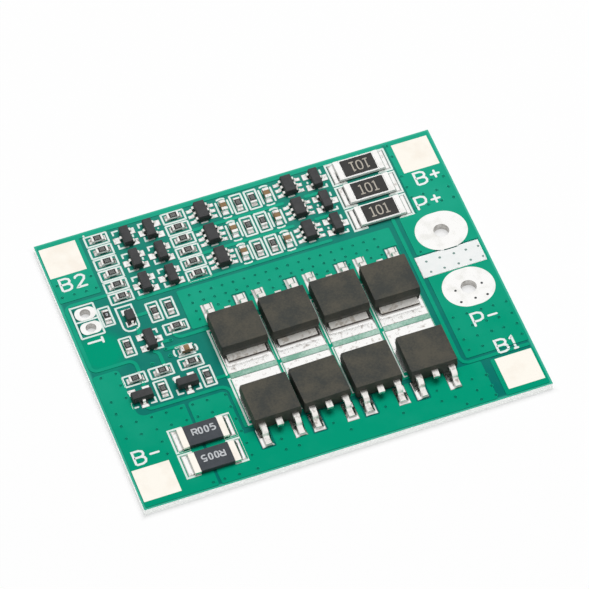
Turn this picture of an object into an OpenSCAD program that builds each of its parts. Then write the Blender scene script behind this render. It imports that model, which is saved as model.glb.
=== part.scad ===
// Battery management board for three lithium cells in series.
// A two-layer circuit board carries eight power transistors in two rows, two
// current-sense resistors, three balancing channels and their small parts.
// Origin: centre of the board's underside. X runs along the long side, from
// the B2 and B- cell terminals to the B+ and B1 ones. Places in lists are
// measured from the board's left and front edges, or its right and back ones.

/* [Board] */
// Length of the board along X
board_l = 56; // [56:0.5:62]
// Width of the board along Y
board_w = 45; // [45:0.5:50]
// Thickness over both copper layers
board_t = 1.2; // [0.8:0.1:1.6]
// Thickness of one copper layer with its mask
copper_t = 0.07; // [0.035:0.005:0.14]
// Height of a tinned land above the masked copper
tin_rise = 0.03; // [0.01:0.01:0.1]
// Bare laminate along the board's edges
edge_bare = 0.3; // [0.2:0.05:0.4]
// Width of the gap between two copper areas
copper_gap = 0.4; // [0.25:0.05:0.45]
// Width of the gap round the land of a power transistor's gate
gate_gap = 0.2; // [0.15:0.05:0.3]
// Width of a copper track
track_w = 0.5; // [0.3:0.05:0.6]

/* [Cell terminals] */
// Side of a square cell terminal
cell_pad = 5.1; // [4:0.1:5.3]
// From a left or front edge to a left or front cell terminal
cell_pad_in = 0.36; // [0.3:0.02:0.5]
// From the right edge to a right cell terminal
cell_pad_in_right = 0.6; // [0.4:0.05:0.8]
// From the front edge to a front cell terminal
cell_pad_in_front = 1.15; // [0.6:0.05:1.2]
// From the back edge to a back cell terminal
cell_pad_in_back = 0.9; // [0.6:0.05:1]

/* [Output terminals] */
// Length of an output land along X
out_pad_l = 7.15; // [6.4:0.05:7.4]
// Width of an output land along Y
out_pad_w = 6.25; // [5:0.05:6.35]
// Diameter of the plated hole in an output land
out_hole_d = 2.1; // [1.5:0.1:3]
// From the right edge to the centre of an output land
out_pad_in = 4.52; // [4.2:0.02:4.8]
// From the front edge to the centre of the P- land
out_pad_y = 18.4; // [18:0.1:19]
// Distance between the two output lands' centres
out_pad_pitch = 9.95; // [9.9:0.05:10.5]
// Wall of copper and solder in a plated hole
plating_t = 0.16; // [0.16:0.01:0.25]

/* [Thermistor terminals] */
// Length of a thermistor land along X
therm_pad_l = 2.8; // [2.4:0.1:3]
// Width of a thermistor land along Y
therm_pad_w = 2; // [1.8:0.05:2.2]
// Diameter of the plated hole in a thermistor land
therm_hole_d = 1.4; // [0.8:0.05:1.5]
// Distance between the two thermistor lands' centres
therm_pitch = 2.46; // [2.4:0.02:2.54]

/* [Power transistors] */
// Width of a power transistor's moulding along X
mos_w = 6.5; // [6.3:0.05:6.7]
// Length of its moulding along Y
mos_l = 6.1; // [5.9:0.05:6.2]
// Height of its moulding above the lands
mos_h = 2.3; // [2.1:0.05:2.5]
// Distance between neighbours in a row
mos_pitch = 7.1; // [7.05:0.05:7.3]
// Draft of the moulding's walls in degrees
mos_draft = 6; // [0:1:10]
// Width of the drain tab
tab_w = 5.3; // [4.8:0.1:5.5]
// Length of the drain tab beyond the moulding
tab_out = 1; // [0.8:0.05:1.2]
// Thickness of the drain tab
tab_t = 0.5; // [0.4:0.05:0.6]
// Width of an outer lead
mos_lead_w = 0.76; // [0.6:0.02:0.9]
// Thickness of a lead
mos_lead_t = 0.46; // [0.4:0.02:0.5]
// Distance between the two outer leads
mos_lead_pitch = 4.57; // [4.4:0.01:4.7]
// Reach of the outer leads beyond the moulding
mos_lead_out = 2.7; // [2.5:0.05:2.8]
// Length of the cut middle lead beyond the moulding
mos_stub_out = 1.1; // [0.8:0.05:1.3]
// Slope of an outer lead's leg in degrees
mos_lead_slope = 75; // [65:1:85]

/* [Large resistors] */
// Length of a large chip resistor
big_l = 6.3; // [6:0.05:6.4]
// Width of a large chip resistor
big_w = 3.2; // [3:0.05:3.3]
// Height of a balancing resistor
balance_h = 0.58; // [0.5:0.02:0.7]
// Height of a current-sense resistor
shunt_h = 0.64; // [0.6:0.02:0.8]
// Length of a current-sense resistor's metal end
shunt_end = 0.88; // [0.6:0.02:1.1]

/* [Small parts] */
// Distance between the three channels
row_pitch = 4.05; // [3.95:0.05:4.1]
// Length of a small chip resistor or capacitor
chip_l = 1.6; // [1.5:0.02:1.7]
// Width of a small chip resistor or capacitor
chip_w = 0.85; // [0.7:0.05:0.9]
// Height of a small chip resistor
res_h = 0.45; // [0.4:0.01:0.5]
// Height of a small chip capacitor
cap_h = 0.75; // [0.6:0.05:0.85]
// Length of a small chip resistor's metal end
chip_end = 0.28; // [0.2:0.02:0.4]
// Length of a small chip capacitor's metal end
cap_end = 0.44; // [0.3:0.02:0.5]
// Length of a small moulding along its row of leads
small_l = 2.9; // [2.8:0.02:3]
// Width of a three-lead transistor's moulding
trans_w = 1.3; // [1.2:0.05:1.4]
// Height of a three-lead transistor's moulding
trans_h = 1.05; // [0.9:0.05:1.1]
// Width of a six-lead chip's moulding
ic_w = 1.6; // [1.5:0.05:1.7]
// Height of a six-lead chip's moulding
ic_h = 1.2; // [1.05:0.05:1.3]
// Distance between two neighbouring leads
small_pitch = 0.95; // [0.9:0.01:1]
// Width of a small gull-wing lead
small_lead_w = 0.4; // [0.3:0.02:0.48]
// Thickness of a small gull-wing lead
small_lead_t = 0.14; // [0.1:0.01:0.16]
// Reach of a small gull-wing lead beyond its moulding
small_lead_out = 0.58; // [0.55:0.01:0.65]
// Slope of a small lead's leg in degrees
small_lead_slope = 78; // [70:1:85]

/* [Diode] */
// Length of the diode's moulding along Y
diode_l = 1.7; // [1.6:0.05:1.8]
// Width of the diode's moulding along X
diode_w = 1.25; // [1.15:0.05:1.35]
// Height of the diode's moulding
diode_h = 0.9; // [0.8:0.05:1]
// Width of a diode lead
diode_lead_w = 0.34; // [0.25:0.01:0.4]
// Reach of a diode lead beyond the moulding
diode_lead_out = 0.42; // [0.38:0.01:0.5]

/* [Hidden] */
$fn = 48;
bend_steps = 4; // flats in one bend of a lead
core_z = copper_t; // underside of the laminate
core_top = board_t - copper_t;
seat_z = board_t + tin_rise; // where the parts stand
cut = 1; // how far a cutting tool passes a face

// Distances along the board from its edges to places in the part's frame
function from_right(x) = board_l - x;
function from_back(y) = board_w - y;

// Power transistors: four columns, and a row of lands for each direction
mos_cols = [for (i = [0:3]) 20.45 + i * mos_pitch];
mos_front_y = 9.52; // centre of the front row's lands
mos_back_y = 22.1; // centre of the back row's lands
// How far each one settled from its lands: along X, along Y, turned
front_drift = [[0.08, 0, 0.3], [-0.18, 0.26, 1.2], [-0.14, 0.18, 0.2], [0.31, -0.04, -0.4]];
back_drift = [[-0.02, -0.24, 0], [-0.06, -0.22, 0.4], [-0.01, -0.12, 0.1], [-0.04, -0.16, -0.3]];
tab_land_w = 6.5;
tab_land = [-1.1, 5.87]; // tab land along Y, from the middle of its pattern
lead_land_w = 1.65;
lead_land = [-5.9, -2.9];
lead_rise = 1.02; // underside of a lead where it leaves the moulding
lead_run = 0.75; // level stretch of a lead before its bend
lead_lap = 0.1; // how far an outer lead runs back into its shoulder
lead_root = 0.3; // how far a lead or tab reaches into its moulding
tab_root = 4.2;
tab_corner = 0.45; // chamfer of the tab's outer corners
shoulder_w = mos_lead_w + 0.1; // wide root of a lead, left by its cut dam bar
shoulder_out = 0.62;

// Large resistors
balance_x = 44.95;
shunt_x = 10.95;
shunt_ys = [8.58, 4.48];
shunt_drift = [[-0.06, -0.12], [0.04, -0.22]]; // how far each one settled from its lands
big_land_w = 3.35;
big_land_under = 0.8; // land hidden under each end
big_land_out = 0.8; // land showing beyond each end
balance_end = 0.7; // metal on top of a balancing resistor's end
metal_t = 0.06; // thickness of a chip's metal end
glaze_w = 2.7; // coat on a balancing resistor
glaze_l = 4.55;
glaze_t = 0.05;

// Channels, from the back edge
rows = [for (i = [0:2]) from_back(2.83) - i * row_pitch];
// Columns of parts: along X, then how far back of the middle of its row each part lies
res_cols = [[8.27, -0.14], [18.92, -0.07]]; // two columns of six chip resistors
res_pitch = row_pitch / 2;
trans_cols = [[11.8, -0.24, 1], [15.34, -0.24, 1], [38.86, 0.02, -1]]; // 1: lone lead to the left
ic_cols = [[22.7, 0.04], [34.99, 0.04]];
row_cap_cols = [[25.71, -0.04], [31.84, -0.12]];
row_res_cols = [[27.76, -0.1], [29.8, -0.04]];

// The control group, from the left and front edges: along X, along Y, turned
control_res = [
    [5.34, 30.6, 90], [11.46, 29.08, 90], [13.53, 29.14, 90], [6.34, 25.02, 90],
    [13.39, 25.82, 0], [13.35, 19.7, 0], [5.56, 19.7, 0], [9.26, 19.67, 0],
    [8.4, 16.9, 90], [14.51, 16.9, 90]
];
control_cap = [[13.34, 21.74, 0]];
// Turned so that the lone lead points left, right or to the front
control_trans = [[9.47, 24.9, 180], [5.45, 16.7, 90], [11.63, 16.7, 90]];
// How far each small transistor settled from its lands, along X and along Y
trans_drift = [
    [0.15, -0.01], [0.08, 0.06], [0.01, 0.03], [-0.1, 0.07], [0.14, 0.05], [0.18, 0],
    [-0.08, -0.02], [-0.1, 0.02], [-0.04, 0.04], [-0.07, -0.04], [0.03, -0.03], [0.06, -0.03]
];
diode_at = [8, 29.42]; // middle of the diode's lands
diode_drift = [0.18, -0.06];
diode_land = [1.35, 0.95];
diode_land_y = 0.15; // from the diode moulding's end to the middle of its land
diode_lead_t = 0.12;
diode_lead_rise = 0.36;
diode_lead_run = 0.04;

// Lands of the small parts
chip_land = [0.78, 0.92];
chip_land_x = 0.8;
trans_land = [1, 1];
trans_land_in = 0.1; // from the tip of a lead back to the middle of its land
ic_land = [1.05, 0.56];
small_rise = 0.42; // underside of a small lead at its moulding
small_run = 0.08;
small_root = 0.12;
small_stand = 0.05; // air under a small moulding
small_draft = 8;

therm_x = 2.85;
therm_y = 29.65;
therm_r = 0.85; // radius of a thermistor land's corners

// Places children by a distance from the left and front edges
module at(x, y, turn = 0) {
    translate([x - board_l / 2, y - board_w / 2]) rotate(turn) children();
}

// Rectangle with rounded corners, its near corner at the origin
module rounded(l, w, r) {
    translate([r, 0]) square([l - 2 * r, w]);
    translate([0, r]) square([l, w - 2 * r]);
    for (x = [r, l - r], y = [r, w - r]) translate([x, y]) circle(r);
}

module obround(l, w) {
    square([l - w, w], center = true);
    for (side = [-1, 1]) translate([side * (l - w) / 2, 0]) circle(d = w);
}

// A stroke of one width through a list of places, with round ends and corners
module stroke(points, w) {
    for (p = points) at(p[0], p[1]) circle(d = w, $fn = 24);
    for (i = [1:len(points) - 1]) {
        a = points[i - 1];
        b = points[i];
        step = b - a;
        at(a[0], a[1], atan2(step[1], step[0]))
            translate([0, -w / 2]) square([norm(step), w]);
    }
}

// Section of a moulding, drafted up and down from its parting line
module drafted(w, h, parting, draft) {
    top = w / 2 - (h - parting) * tan(draft);
    low = w / 2 - parting * tan(draft);
    polygon([[-low, 0], [low, 0], [w / 2, parting], [top, h], [-top, h], [-w / 2, parting]]);
}

module moulding(w, l, h, parting, draft) {
    intersection() {
        rotate([90, 0, 0]) linear_extrude(l, center = true) drafted(w, h, parting, draft);
        rotate([90, 0, 90]) linear_extrude(w, center = true) drafted(l, h, parting, draft);
    }
}

function bend(c, r, from, to) = [
    for (i = [0:bend_steps])
        let (a = from + (to - from) * i / bend_steps)
        [c[0] + r * cos(a), c[1] + r * sin(a)]
];

// A gull-wing lead that leaves its moulding at the origin, along +Y: a level
// run, a sloping leg between two bends, and a foot flat on its land
module gull_lead(w, t, rise, run, out, root, slope) {
    r = 0.7 * t;
    drop = rise - t - 2 * r;
    leg = (drop + (2 * r + t) * cos(slope)) / sin(slope);
    knee = [run, rise - r];
    ankle = [run + (2 * r + t) * sin(slope) + leg * cos(slope), t + r];
    outline = concat(
        [[-root, rise]],
        bend(knee, r, 90, 90 - slope),
        bend(ankle, r + t, 270 - slope, 270),
        [[out, 0], [out, t]],
        bend(ankle, r, 270, 270 - slope),
        bend(knee, r + t, 90 - slope, 90),
        [[-root, rise + t]]
    );
    translate([-w / 2, 0, 0]) rotate([90, 0, 90]) linear_extrude(w) polygon(outline);
}

// Places of the parts, as loops that the bodies, ends and lands share
module each_chip_resistor() {
    for (c = res_cols, i = [-0.5:4.5]) at(c[0], rows[0] + c[1] - i * res_pitch) children();
    for (c = row_res_cols, y = rows) at(c[0], y + c[1], 90) children();
    for (p = control_res) at(p[0], p[1], p[2]) children();
}

module each_chip_capacitor() {
    for (c = row_cap_cols, y = rows) at(c[0], y + c[1], 90) children();
    for (p = control_cap) at(p[0], p[1], p[2]) children();
}

// Small transistors 1 to 9 in the channels, 10 to 12 in the control group
function trans_place(i) =
    i > 9
    ? control_trans[i - 10]
    : let (col = trans_cols[floor((i - 1) / 3)])
        [col[0], rows[(i - 1) % 3] + col[1], col[2] > 0 ? 0 : 180];

module at_transistor(i, drift = [0, 0]) {
    p = trans_place(i);
    at(p[0] + drift[0], p[1] + drift[1], p[2]) children();
}

module at_ic(i) {
    col = ic_cols[floor((i - 1) / 3)];
    at(col[0], rows[(i - 1) % 3] + col[1]) children();
}

module at_shunt(i) {
    drift = shunt_drift[i - 1];
    at(shunt_x + drift[0], shunt_ys[i - 1] + drift[1]) children();
}

// Front row 1 to 4 with leads to the front, back row 5 to 8 turned about
module at_mosfet_lands(i) {
    front = i <= 4;
    at(mos_cols[(i - 1) % 4], front ? mos_front_y : mos_back_y, front ? 0 : 180) children();
}

module at_mosfet(i) {
    front = i <= 4;
    drift = front ? front_drift[i - 1] : back_drift[i - 5];
    at(mos_cols[(i - 1) % 4] + drift[0], (front ? mos_front_y : mos_back_y) + drift[1])
        translate([0, 0, seat_z]) rotate((front ? 0 : 180) + drift[2]) children();
}

// Lands

module mosfet_lands() {
    translate([-tab_land_w / 2, tab_land[0]])
        square([tab_land_w, tab_land[1] - tab_land[0]]);
    for (side = [-1, 1])
        translate([side * mos_lead_pitch / 2 - lead_land_w / 2, lead_land[0]])
            square([lead_land_w, lead_land[1] - lead_land[0]]);
}

module gate_moat() {
    grow = 2 * gate_gap;
    translate([-mos_lead_pitch / 2 - lead_land_w / 2 - gate_gap, lead_land[0] - gate_gap])
        rounded(lead_land_w + grow, lead_land[1] - lead_land[0] + grow, gate_gap);
}

module pair_of_lands(x, size) {
    for (side = [-1, 1]) translate([side * x, 0]) square(size, center = true);
}

module transistor_lands() {
    x = trans_w / 2 + small_lead_out - trans_land_in;
    translate([-x, 0]) square(trans_land, center = true);
    for (side = [-1, 1]) translate([x, side * small_pitch]) square(trans_land, center = true);
}

module ic_lands() {
    x = ic_w / 2 + small_lead_out;
    for (i = [-1:1]) translate([0, i * small_pitch]) pair_of_lands(x, ic_land);
}

module large_lands() {
    for (side = [-1, 1])
        translate([side * (big_l + big_land_out - big_land_under) / 2, 0])
            square([big_land_under + big_land_out, big_land_w], center = true);
}

module component_land_shapes() {
    for (i = [1:8]) at_mosfet_lands(i) mosfet_lands();
    for (i = [1:12]) at_transistor(i) transistor_lands();
    for (i = [1:6]) at_ic(i) ic_lands();
    for (y = rows) at(balance_x, y) large_lands();
    for (y = shunt_ys) at(shunt_x, y) large_lands();
    for (side = [-1, 1])
        at(diode_at[0], diode_at[1] + side * (diode_l / 2 + diode_land_y))
            square(diode_land, center = true);
    each_chip_resistor() pair_of_lands(chip_land_x, chip_land);
    each_chip_capacitor() pair_of_lands(chip_land_x, chip_land);
}

cell_left = cell_pad_in + cell_pad / 2;
cell_right = from_right(cell_pad_in_right + cell_pad / 2);
cell_front = cell_pad_in_front + cell_pad / 2;
cell_back = from_back(cell_pad_in_back + cell_pad / 2);
out_x = from_right(out_pad_in);
out_plus_y = out_pad_y + out_pad_pitch;

module terminal_shapes() {
    for (x = [cell_left, cell_right], y = [cell_front, cell_back])
        at(x, y) square(cell_pad, center = true);
}

module thermistor_land() {
    translate([-therm_pad_l / 2, -therm_pad_w / 2]) rounded(therm_pad_l, therm_pad_w, therm_r);
}

module plated_shapes() {
    for (y = [out_pad_y, out_plus_y]) at(out_x, y) obround(out_pad_l, out_pad_w);
    for (i = [0, 1])
        at(therm_x, therm_y + i * therm_pitch) thermistor_land();
}

// Copper of the top side, from the left and front edges

left = edge_bare;
right = from_right(edge_bare);
back = from_back(edge_bare);
out_left = from_right(9.05); // left side of the output terminals' areas
spine = from_right(9.9); // middle of the track beside them
b1_left = from_right(6.3);
b_plus_left = from_right(6.5);
sense_x = 10.45; // middle of the gap between the current-sense lands
cell_area_top = 14.1; // front-left area ends here
shunt_right = 16.1;
fet_left = 17.05;
fet_right = from_right(10.85);
fet_front = 7.3;
fet_back = 24.5;
load_back = 31.5; // the area behind the back row ends here
b2_front = from_back(10.3);
half = copper_gap / 2;
turn_r = 0.9; // radius of a track's turns, cut across
area_r = 0.25; // radius of an area's corners
wide_r = 0.6;
inner_r = 1.1; // where the front-left area turns inward

module area(x0, y0, x1, y1, r = area_r) {
    at(x0, y0) rounded(x1 - x0, y1 - y0, r);
}

module areas() {
    area(left, edge_bare, sense_x - half, cell_area_top - half);
    area(left, edge_bare, 4, 22, wide_r);
    at(4, cell_area_top - half) difference() {
        translate([-cut, -cut]) square(inner_r + cut);
        translate([inner_r, inner_r]) circle(inner_r);
    }
    area(sense_x + half, edge_bare, shunt_right - half, cell_area_top - half, wide_r);
    area(sense_x + half, edge_bare, b1_left - 1.2, fet_front - 2 * half - 0.25);
    area(b1_left, edge_bare, right, 6.35);
    area(fet_left - 0.3, fet_front, fet_right, fet_back - half);
    area(15.2, fet_back + half, fet_right, load_back - half);
    area(out_left, 7.65, right, out_pad_y + out_pad_pitch / 2 + 1.87);
    area(out_left, out_pad_y + out_pad_pitch / 2 + 2.13, right, from_back(12.8));
    area(b_plus_left, from_back(13), right, back);
    area(left, b2_front, 6, back);
    area(left, back - 0.6, b_plus_left - copper_gap, back);
}

module tracks() {
    wrap_x = shunt_right + track_w / 2 + half; // track round the middle area's corner
    stroke(concat(
        [[6.3, 33.95]], bend([1.55, 33.05], 0.9, 90, 180), bend([1.55, 23.65], 0.9, 180, 270),
        bend([5.5, 21.8], 0.95, 90, 0), [[6.45, 20.9]]
    ), track_w);
    stroke(concat(
        bend([6.25, 15.45], 0.8, 180, 270),
        bend([wrap_x - 1.25, 13.4], 1.25, 90, 0), [[wrap_x, fet_front + track_w]]
    ), track_w);
    stroke([[15.6, 16.2], [17.2, 16.2]], track_w);
    stroke(concat(bend([8.95, 22.3], 0.9, 60, 0), [[9.85, 20.6]]), track_w);
    stroke(concat(bend([13.6, 25.05], 0.9, 180, 270), [[17, 24.15]]), track_w);
    stroke([[10.9, 22.9], [13.6, 22.9]], track_w);
    stroke([[11, 24.15], [11.9, 24.15]], track_w);
    stroke([[8.6, 29.4], [10.4, 29.4]], track_w);
    stroke([[8.6, 27.4], [8.4, 26.4]], track_w);
    stroke([[6.3, 18.9], [6.3, 17.9]], track_w);
    stroke([[10.2, load_back + 0.5], [37.2, load_back + 0.5]], track_w);
    for (i = [0, 1]) {
        y = rows[i] - row_pitch / 2 - 0.1;
        stroke([[20.8, y], [33.3, y]], track_w);
        stroke([[36.6, y], [38.2, y]], track_w);
    }
    stroke([
        [spine, from_back(12.7)], [spine, 7.1 + turn_r], [spine + 0.3, 7.3],
        [spine + turn_r, 7], [right - 0.4, 7]
    ], track_w);
}

module copper_shapes() {
    difference() {
        union() {
            areas();
            tracks();
        }
        for (i = [1:8]) at_mosfet_lands(i) gate_moat();
        terminal_shapes();
        plated_shapes();
        component_land_shapes();
    }
}

module bottom_shapes() {
    split_x = from_right(10);
    split_y = 24.5;
    difference() {
        union() {
            area(left, edge_bare, split_x - half, split_y - half);
            area(left, split_y + half, split_x - half, back);
            area(split_x + half, edge_bare, right, out_pad_y + out_pad_pitch / 2 - half);
            area(split_x + half, out_pad_y + out_pad_pitch / 2 + half, right, back);
        }
        plated_shapes();
    }
}

// Sub-parts

module plated_hole(d) {
    cylinder(h = 4 * board_t, d = d, center = true);
}

module board() {
    color("seagreen") difference() {
        translate([-board_l / 2, -board_w / 2, core_z])
            cube([board_l, board_w, core_top - core_z]);
        for (y = [out_pad_y, out_plus_y])
            at(out_x, y) plated_hole(out_hole_d + 2 * plating_t);
        for (i = [0, 1])
            at(therm_x, therm_y + i * therm_pitch) plated_hole(therm_hole_d + 2 * plating_t);
    }
}

module top_copper() {
    color("mediumseagreen") translate([0, 0, core_top]) linear_extrude(copper_t) copper_shapes();
}

module bottom_copper() {
    color("mediumseagreen") linear_extrude(copper_t) bottom_shapes();
}

module component_lands() {
    color("gainsboro") translate([0, 0, core_top])
        linear_extrude(seat_z - core_top) component_land_shapes();
}

module cell_terminal(x, y) {
    color("ivory") at(x, y) translate([0, 0, core_top])
        linear_extrude(seat_z - core_top) square(cell_pad, center = true);
}

// A plated hole with its land on both sides of the board, as one piece
module plated_terminal(hole_d) {
    color("white") difference() {
        union() {
            linear_extrude(copper_t) children();
            translate([0, 0, core_top]) linear_extrude(seat_z - core_top) children();
            cylinder(h = board_t, d = hole_d + 2 * plating_t);
        }
        plated_hole(hole_d);
    }
}

module output_terminal(y) {
    at(out_x, y) plated_terminal(out_hole_d) obround(out_pad_l, out_pad_w);
}

module thermistor_terminals() {
    for (i = [0, 1])
        at(therm_x, therm_y + i * therm_pitch)
            plated_terminal(therm_hole_d) thermistor_land();
}

// Roots of the leads and the tab, which the moulding is cast round
module mosfet_tab() {
    y = mos_l / 2 + tab_out;
    linear_extrude(tab_t) polygon([
        [-tab_w / 2, y - tab_out - tab_root], [tab_w / 2, y - tab_out - tab_root],
        [tab_w / 2, y - tab_corner], [tab_w / 2 - tab_corner, y],
        [tab_corner - tab_w / 2, y], [-tab_w / 2, y - tab_corner]
    ]);
}

module lead_roots() {
    for (x = [-mos_lead_pitch / 2, 0, mos_lead_pitch / 2]) {
        reach = x == 0 ? mos_stub_out : shoulder_out;
        translate([x - shoulder_w / 2, -mos_l / 2 - reach, lead_rise])
            cube([shoulder_w, reach + lead_root, mos_lead_t]);
    }
}

module mosfet(i) {
    color("dimgray") at_mosfet(i) difference() {
        moulding(mos_w, mos_l, mos_h, lead_rise + mos_lead_t / 2, mos_draft);
        mosfet_tab();
        lead_roots();
    }
}

module mosfet_leads(i) {
    color("silver") at_mosfet(i) {
        mosfet_tab();
        lead_roots();
        for (side = [-1, 1])
            translate([side * mos_lead_pitch / 2, -mos_l / 2, 0]) rotate(180)
                gull_lead(mos_lead_w, mos_lead_t, lead_rise, lead_run, mos_lead_out, lead_lap,
                    mos_lead_slope);
    }
}

// Metal ends wrapped round the tips of a chip that is l long and w wide
module chip_ends(l, w, h, top) {
    for (side = [-1, 1]) rotate(side < 0 ? 180 : 0) translate([l / 2 - top, -w / 2, 0])
        difference() {
            cube([top, w, h]);
            translate([-cut, -cut, metal_t])
                cube([top + cut - metal_t, w + 2 * cut, h - 2 * metal_t]);
        }
}

// Ceramic between and inside the metal ends, with its coat on top
module chip_body(l, w, h, top, coat_l, coat_w, coat_t) {
    translate([metal_t - l / 2, -w / 2, metal_t])
        cube([l - 2 * metal_t, w, h - 2 * metal_t]);
    translate([-coat_l / 2, -coat_w / 2, h - metal_t - 0.01])
        cube([coat_l, coat_w, coat_t + 0.01]);
}

module balance_resistor(i) {
    color("dimgray") at(balance_x, rows[i - 1]) translate([0, 0, seat_z])
        chip_body(big_l, big_w, balance_h, balance_end, glaze_l, glaze_w, glaze_t + metal_t);
}

module balance_resistor_ends() {
    color("white") for (y = rows) at(balance_x, y) translate([0, 0, seat_z])
        chip_ends(big_l, big_w, balance_h, balance_end);
}

// Coated metal strip between two thick bare ends
module shunt_resistor(i) {
    inner = big_l - 2 * shunt_end;
    color("dimgray") at_shunt(i) translate([0, 0, seat_z + metal_t])
        translate([-inner / 2, -big_w / 2, 0]) cube([inner, big_w, shunt_h - metal_t]);
}

module shunt_resistor_ends() {
    color("gainsboro") for (i = [1, 2], side = [-1, 1]) at_shunt(i)
        translate([side * (big_l - shunt_end) / 2, 0, seat_z + (shunt_h - metal_t) / 2])
            cube([shunt_end, big_w, shunt_h - metal_t], center = true);
}

module small_leads(w, sides) {
    for (s = sides)
        translate([s[0] * w / 2, s[1] * small_pitch, 0]) rotate(s[0] > 0 ? -90 : 90)
            gull_lead(small_lead_w, small_lead_t, small_rise, small_run, small_lead_out,
                small_root, small_lead_slope);
}

module small_moulding(w, h, sides) {
    difference() {
        translate([0, 0, small_stand])
            moulding(w, small_l, h - small_stand, small_rise + small_lead_t / 2 - small_stand,
                small_draft);
        small_leads(w, sides);
    }
}

three_leads = [[-1, 0], [1, -1], [1, 1]];
six_leads = [for (side = [-1, 1], i = [-1:1]) [side, i]];

module transistor(i) {
    color("dimgray") at_transistor(i, trans_drift[i - 1]) translate([0, 0, seat_z])
        small_moulding(trans_w, trans_h, three_leads);
}

module transistor_leads() {
    color("silver") for (i = [1:12]) at_transistor(i, trans_drift[i - 1])
        translate([0, 0, seat_z]) small_leads(trans_w, three_leads);
}

module protection_ic(i) {
    color("dimgray") at_ic(i) translate([0, 0, seat_z]) small_moulding(ic_w, ic_h, six_leads);
}

module protection_ic_leads() {
    color("silver") for (i = [1:6]) at_ic(i) translate([0, 0, seat_z])
        small_leads(ic_w, six_leads);
}

module diode_lead_pair() {
    for (turn = [0, 180]) rotate(turn) translate([0, diode_l / 2, 0])
        gull_lead(diode_lead_w, diode_lead_t, diode_lead_rise, diode_lead_run, diode_lead_out,
            small_root, small_lead_slope);
}

module at_diode() {
    at(diode_at[0] + diode_drift[0], diode_at[1] + diode_drift[1]) translate([0, 0, seat_z])
        children();
}

module diode() {
    color("dimgray") at_diode() difference() {
        translate([0, 0, small_stand])
            moulding(diode_w, diode_l, diode_h - small_stand,
                diode_lead_rise + diode_lead_t / 2 - small_stand, small_draft);
        diode_lead_pair();
    }
}

module diode_leads() {
    color("silver") at_diode() diode_lead_pair();
}

module chip_resistors() {
    color("dimgray") each_chip_resistor() translate([0, 0, seat_z])
        chip_body(chip_l, chip_w, res_h, chip_end, chip_l - 2 * chip_end, chip_w, metal_t);
}

module chip_resistor_ends() {
    color("white") each_chip_resistor() translate([0, 0, seat_z])
        chip_ends(chip_l, chip_w, res_h, chip_end);
}

module chip_capacitors() {
    color("rosybrown") each_chip_capacitor() translate([0, 0, seat_z])
        chip_body(chip_l, chip_w, cap_h, cap_end, chip_l - 2 * cap_end, chip_w, metal_t);
}

module chip_capacitor_ends() {
    color("white") each_chip_capacitor() translate([0, 0, seat_z])
        chip_ends(chip_l, chip_w, cap_h, cap_end);
}

board();
top_copper();
bottom_copper();
component_lands();
cell_terminal(cell_right, cell_back);  // terminal_b_plus
cell_terminal(cell_left, cell_front);  // terminal_b_minus
cell_terminal(cell_right, cell_front);  // terminal_b1
cell_terminal(cell_left, cell_back);  // terminal_b2
output_terminal(out_plus_y);  // terminal_p_plus
output_terminal(out_pad_y);  // terminal_p_minus
thermistor_terminals();
for (i = [1:8]) {
    mosfet(i);
    mosfet_leads(i);
}
for (i = [1:3]) balance_resistor(i);
balance_resistor_ends();
for (i = [1:2]) shunt_resistor(i);
shunt_resistor_ends();
for (i = [1:6]) protection_ic(i);
protection_ic_leads();
for (i = [1:12]) transistor(i);
transistor_leads();
diode();
diode_leads();
chip_resistors();
chip_resistor_ends();
chip_capacitors();
chip_capacitor_ends();
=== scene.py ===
# Battery management board: the finish of its parts, its solder and its print.
# Places in the lists are millimetres from the board's left and front edges.

import math

import bmesh
import bpy
from mathutils import Matrix, Vector


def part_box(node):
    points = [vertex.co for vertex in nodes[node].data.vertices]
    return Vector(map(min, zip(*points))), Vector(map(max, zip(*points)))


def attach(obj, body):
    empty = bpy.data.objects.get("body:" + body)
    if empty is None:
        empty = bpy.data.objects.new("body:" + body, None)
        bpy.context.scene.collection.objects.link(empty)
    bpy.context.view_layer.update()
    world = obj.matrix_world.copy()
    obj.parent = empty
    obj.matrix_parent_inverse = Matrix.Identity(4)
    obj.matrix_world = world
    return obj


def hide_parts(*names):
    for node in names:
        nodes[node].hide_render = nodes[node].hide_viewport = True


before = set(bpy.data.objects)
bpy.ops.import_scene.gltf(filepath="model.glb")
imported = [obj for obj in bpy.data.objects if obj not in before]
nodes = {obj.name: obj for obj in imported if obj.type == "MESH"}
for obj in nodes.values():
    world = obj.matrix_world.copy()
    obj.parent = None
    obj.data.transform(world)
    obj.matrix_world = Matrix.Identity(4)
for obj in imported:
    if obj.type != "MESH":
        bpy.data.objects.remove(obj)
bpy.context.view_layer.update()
mm = 0.001
boardLow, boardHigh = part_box("board")
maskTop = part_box("top_copper")[1].z       # upper side of the masked copper
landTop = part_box("component_lands")[1].z  # where the parts stand
print("frame loaded:", len(nodes), "nodes")


def onBoard(x, y, z=maskTop):
    return Vector((boardLow.x + x * mm, boardLow.y + y * mm, z))


# Camera at the photograph's angle

cameraLook = {
    "location": (-0.119156, -0.346773, 0.499238),  # metres
    "turn": (36.590, 0.821, -20.165),              # degrees
    "lens": 288.53,                                # mm, on a 36 mm sensor
}

camera = bpy.data.objects.new("camera", bpy.data.cameras.new("camera"))
camera.location = cameraLook["location"]
camera.rotation_euler = [math.radians(angle) for angle in cameraLook["turn"]]
camera.data.lens = cameraLook["lens"]
camera.data.clip_start = 0.02
bpy.context.scene.collection.objects.link(camera)
bpy.context.scene.camera = camera


# Node trees

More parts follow.
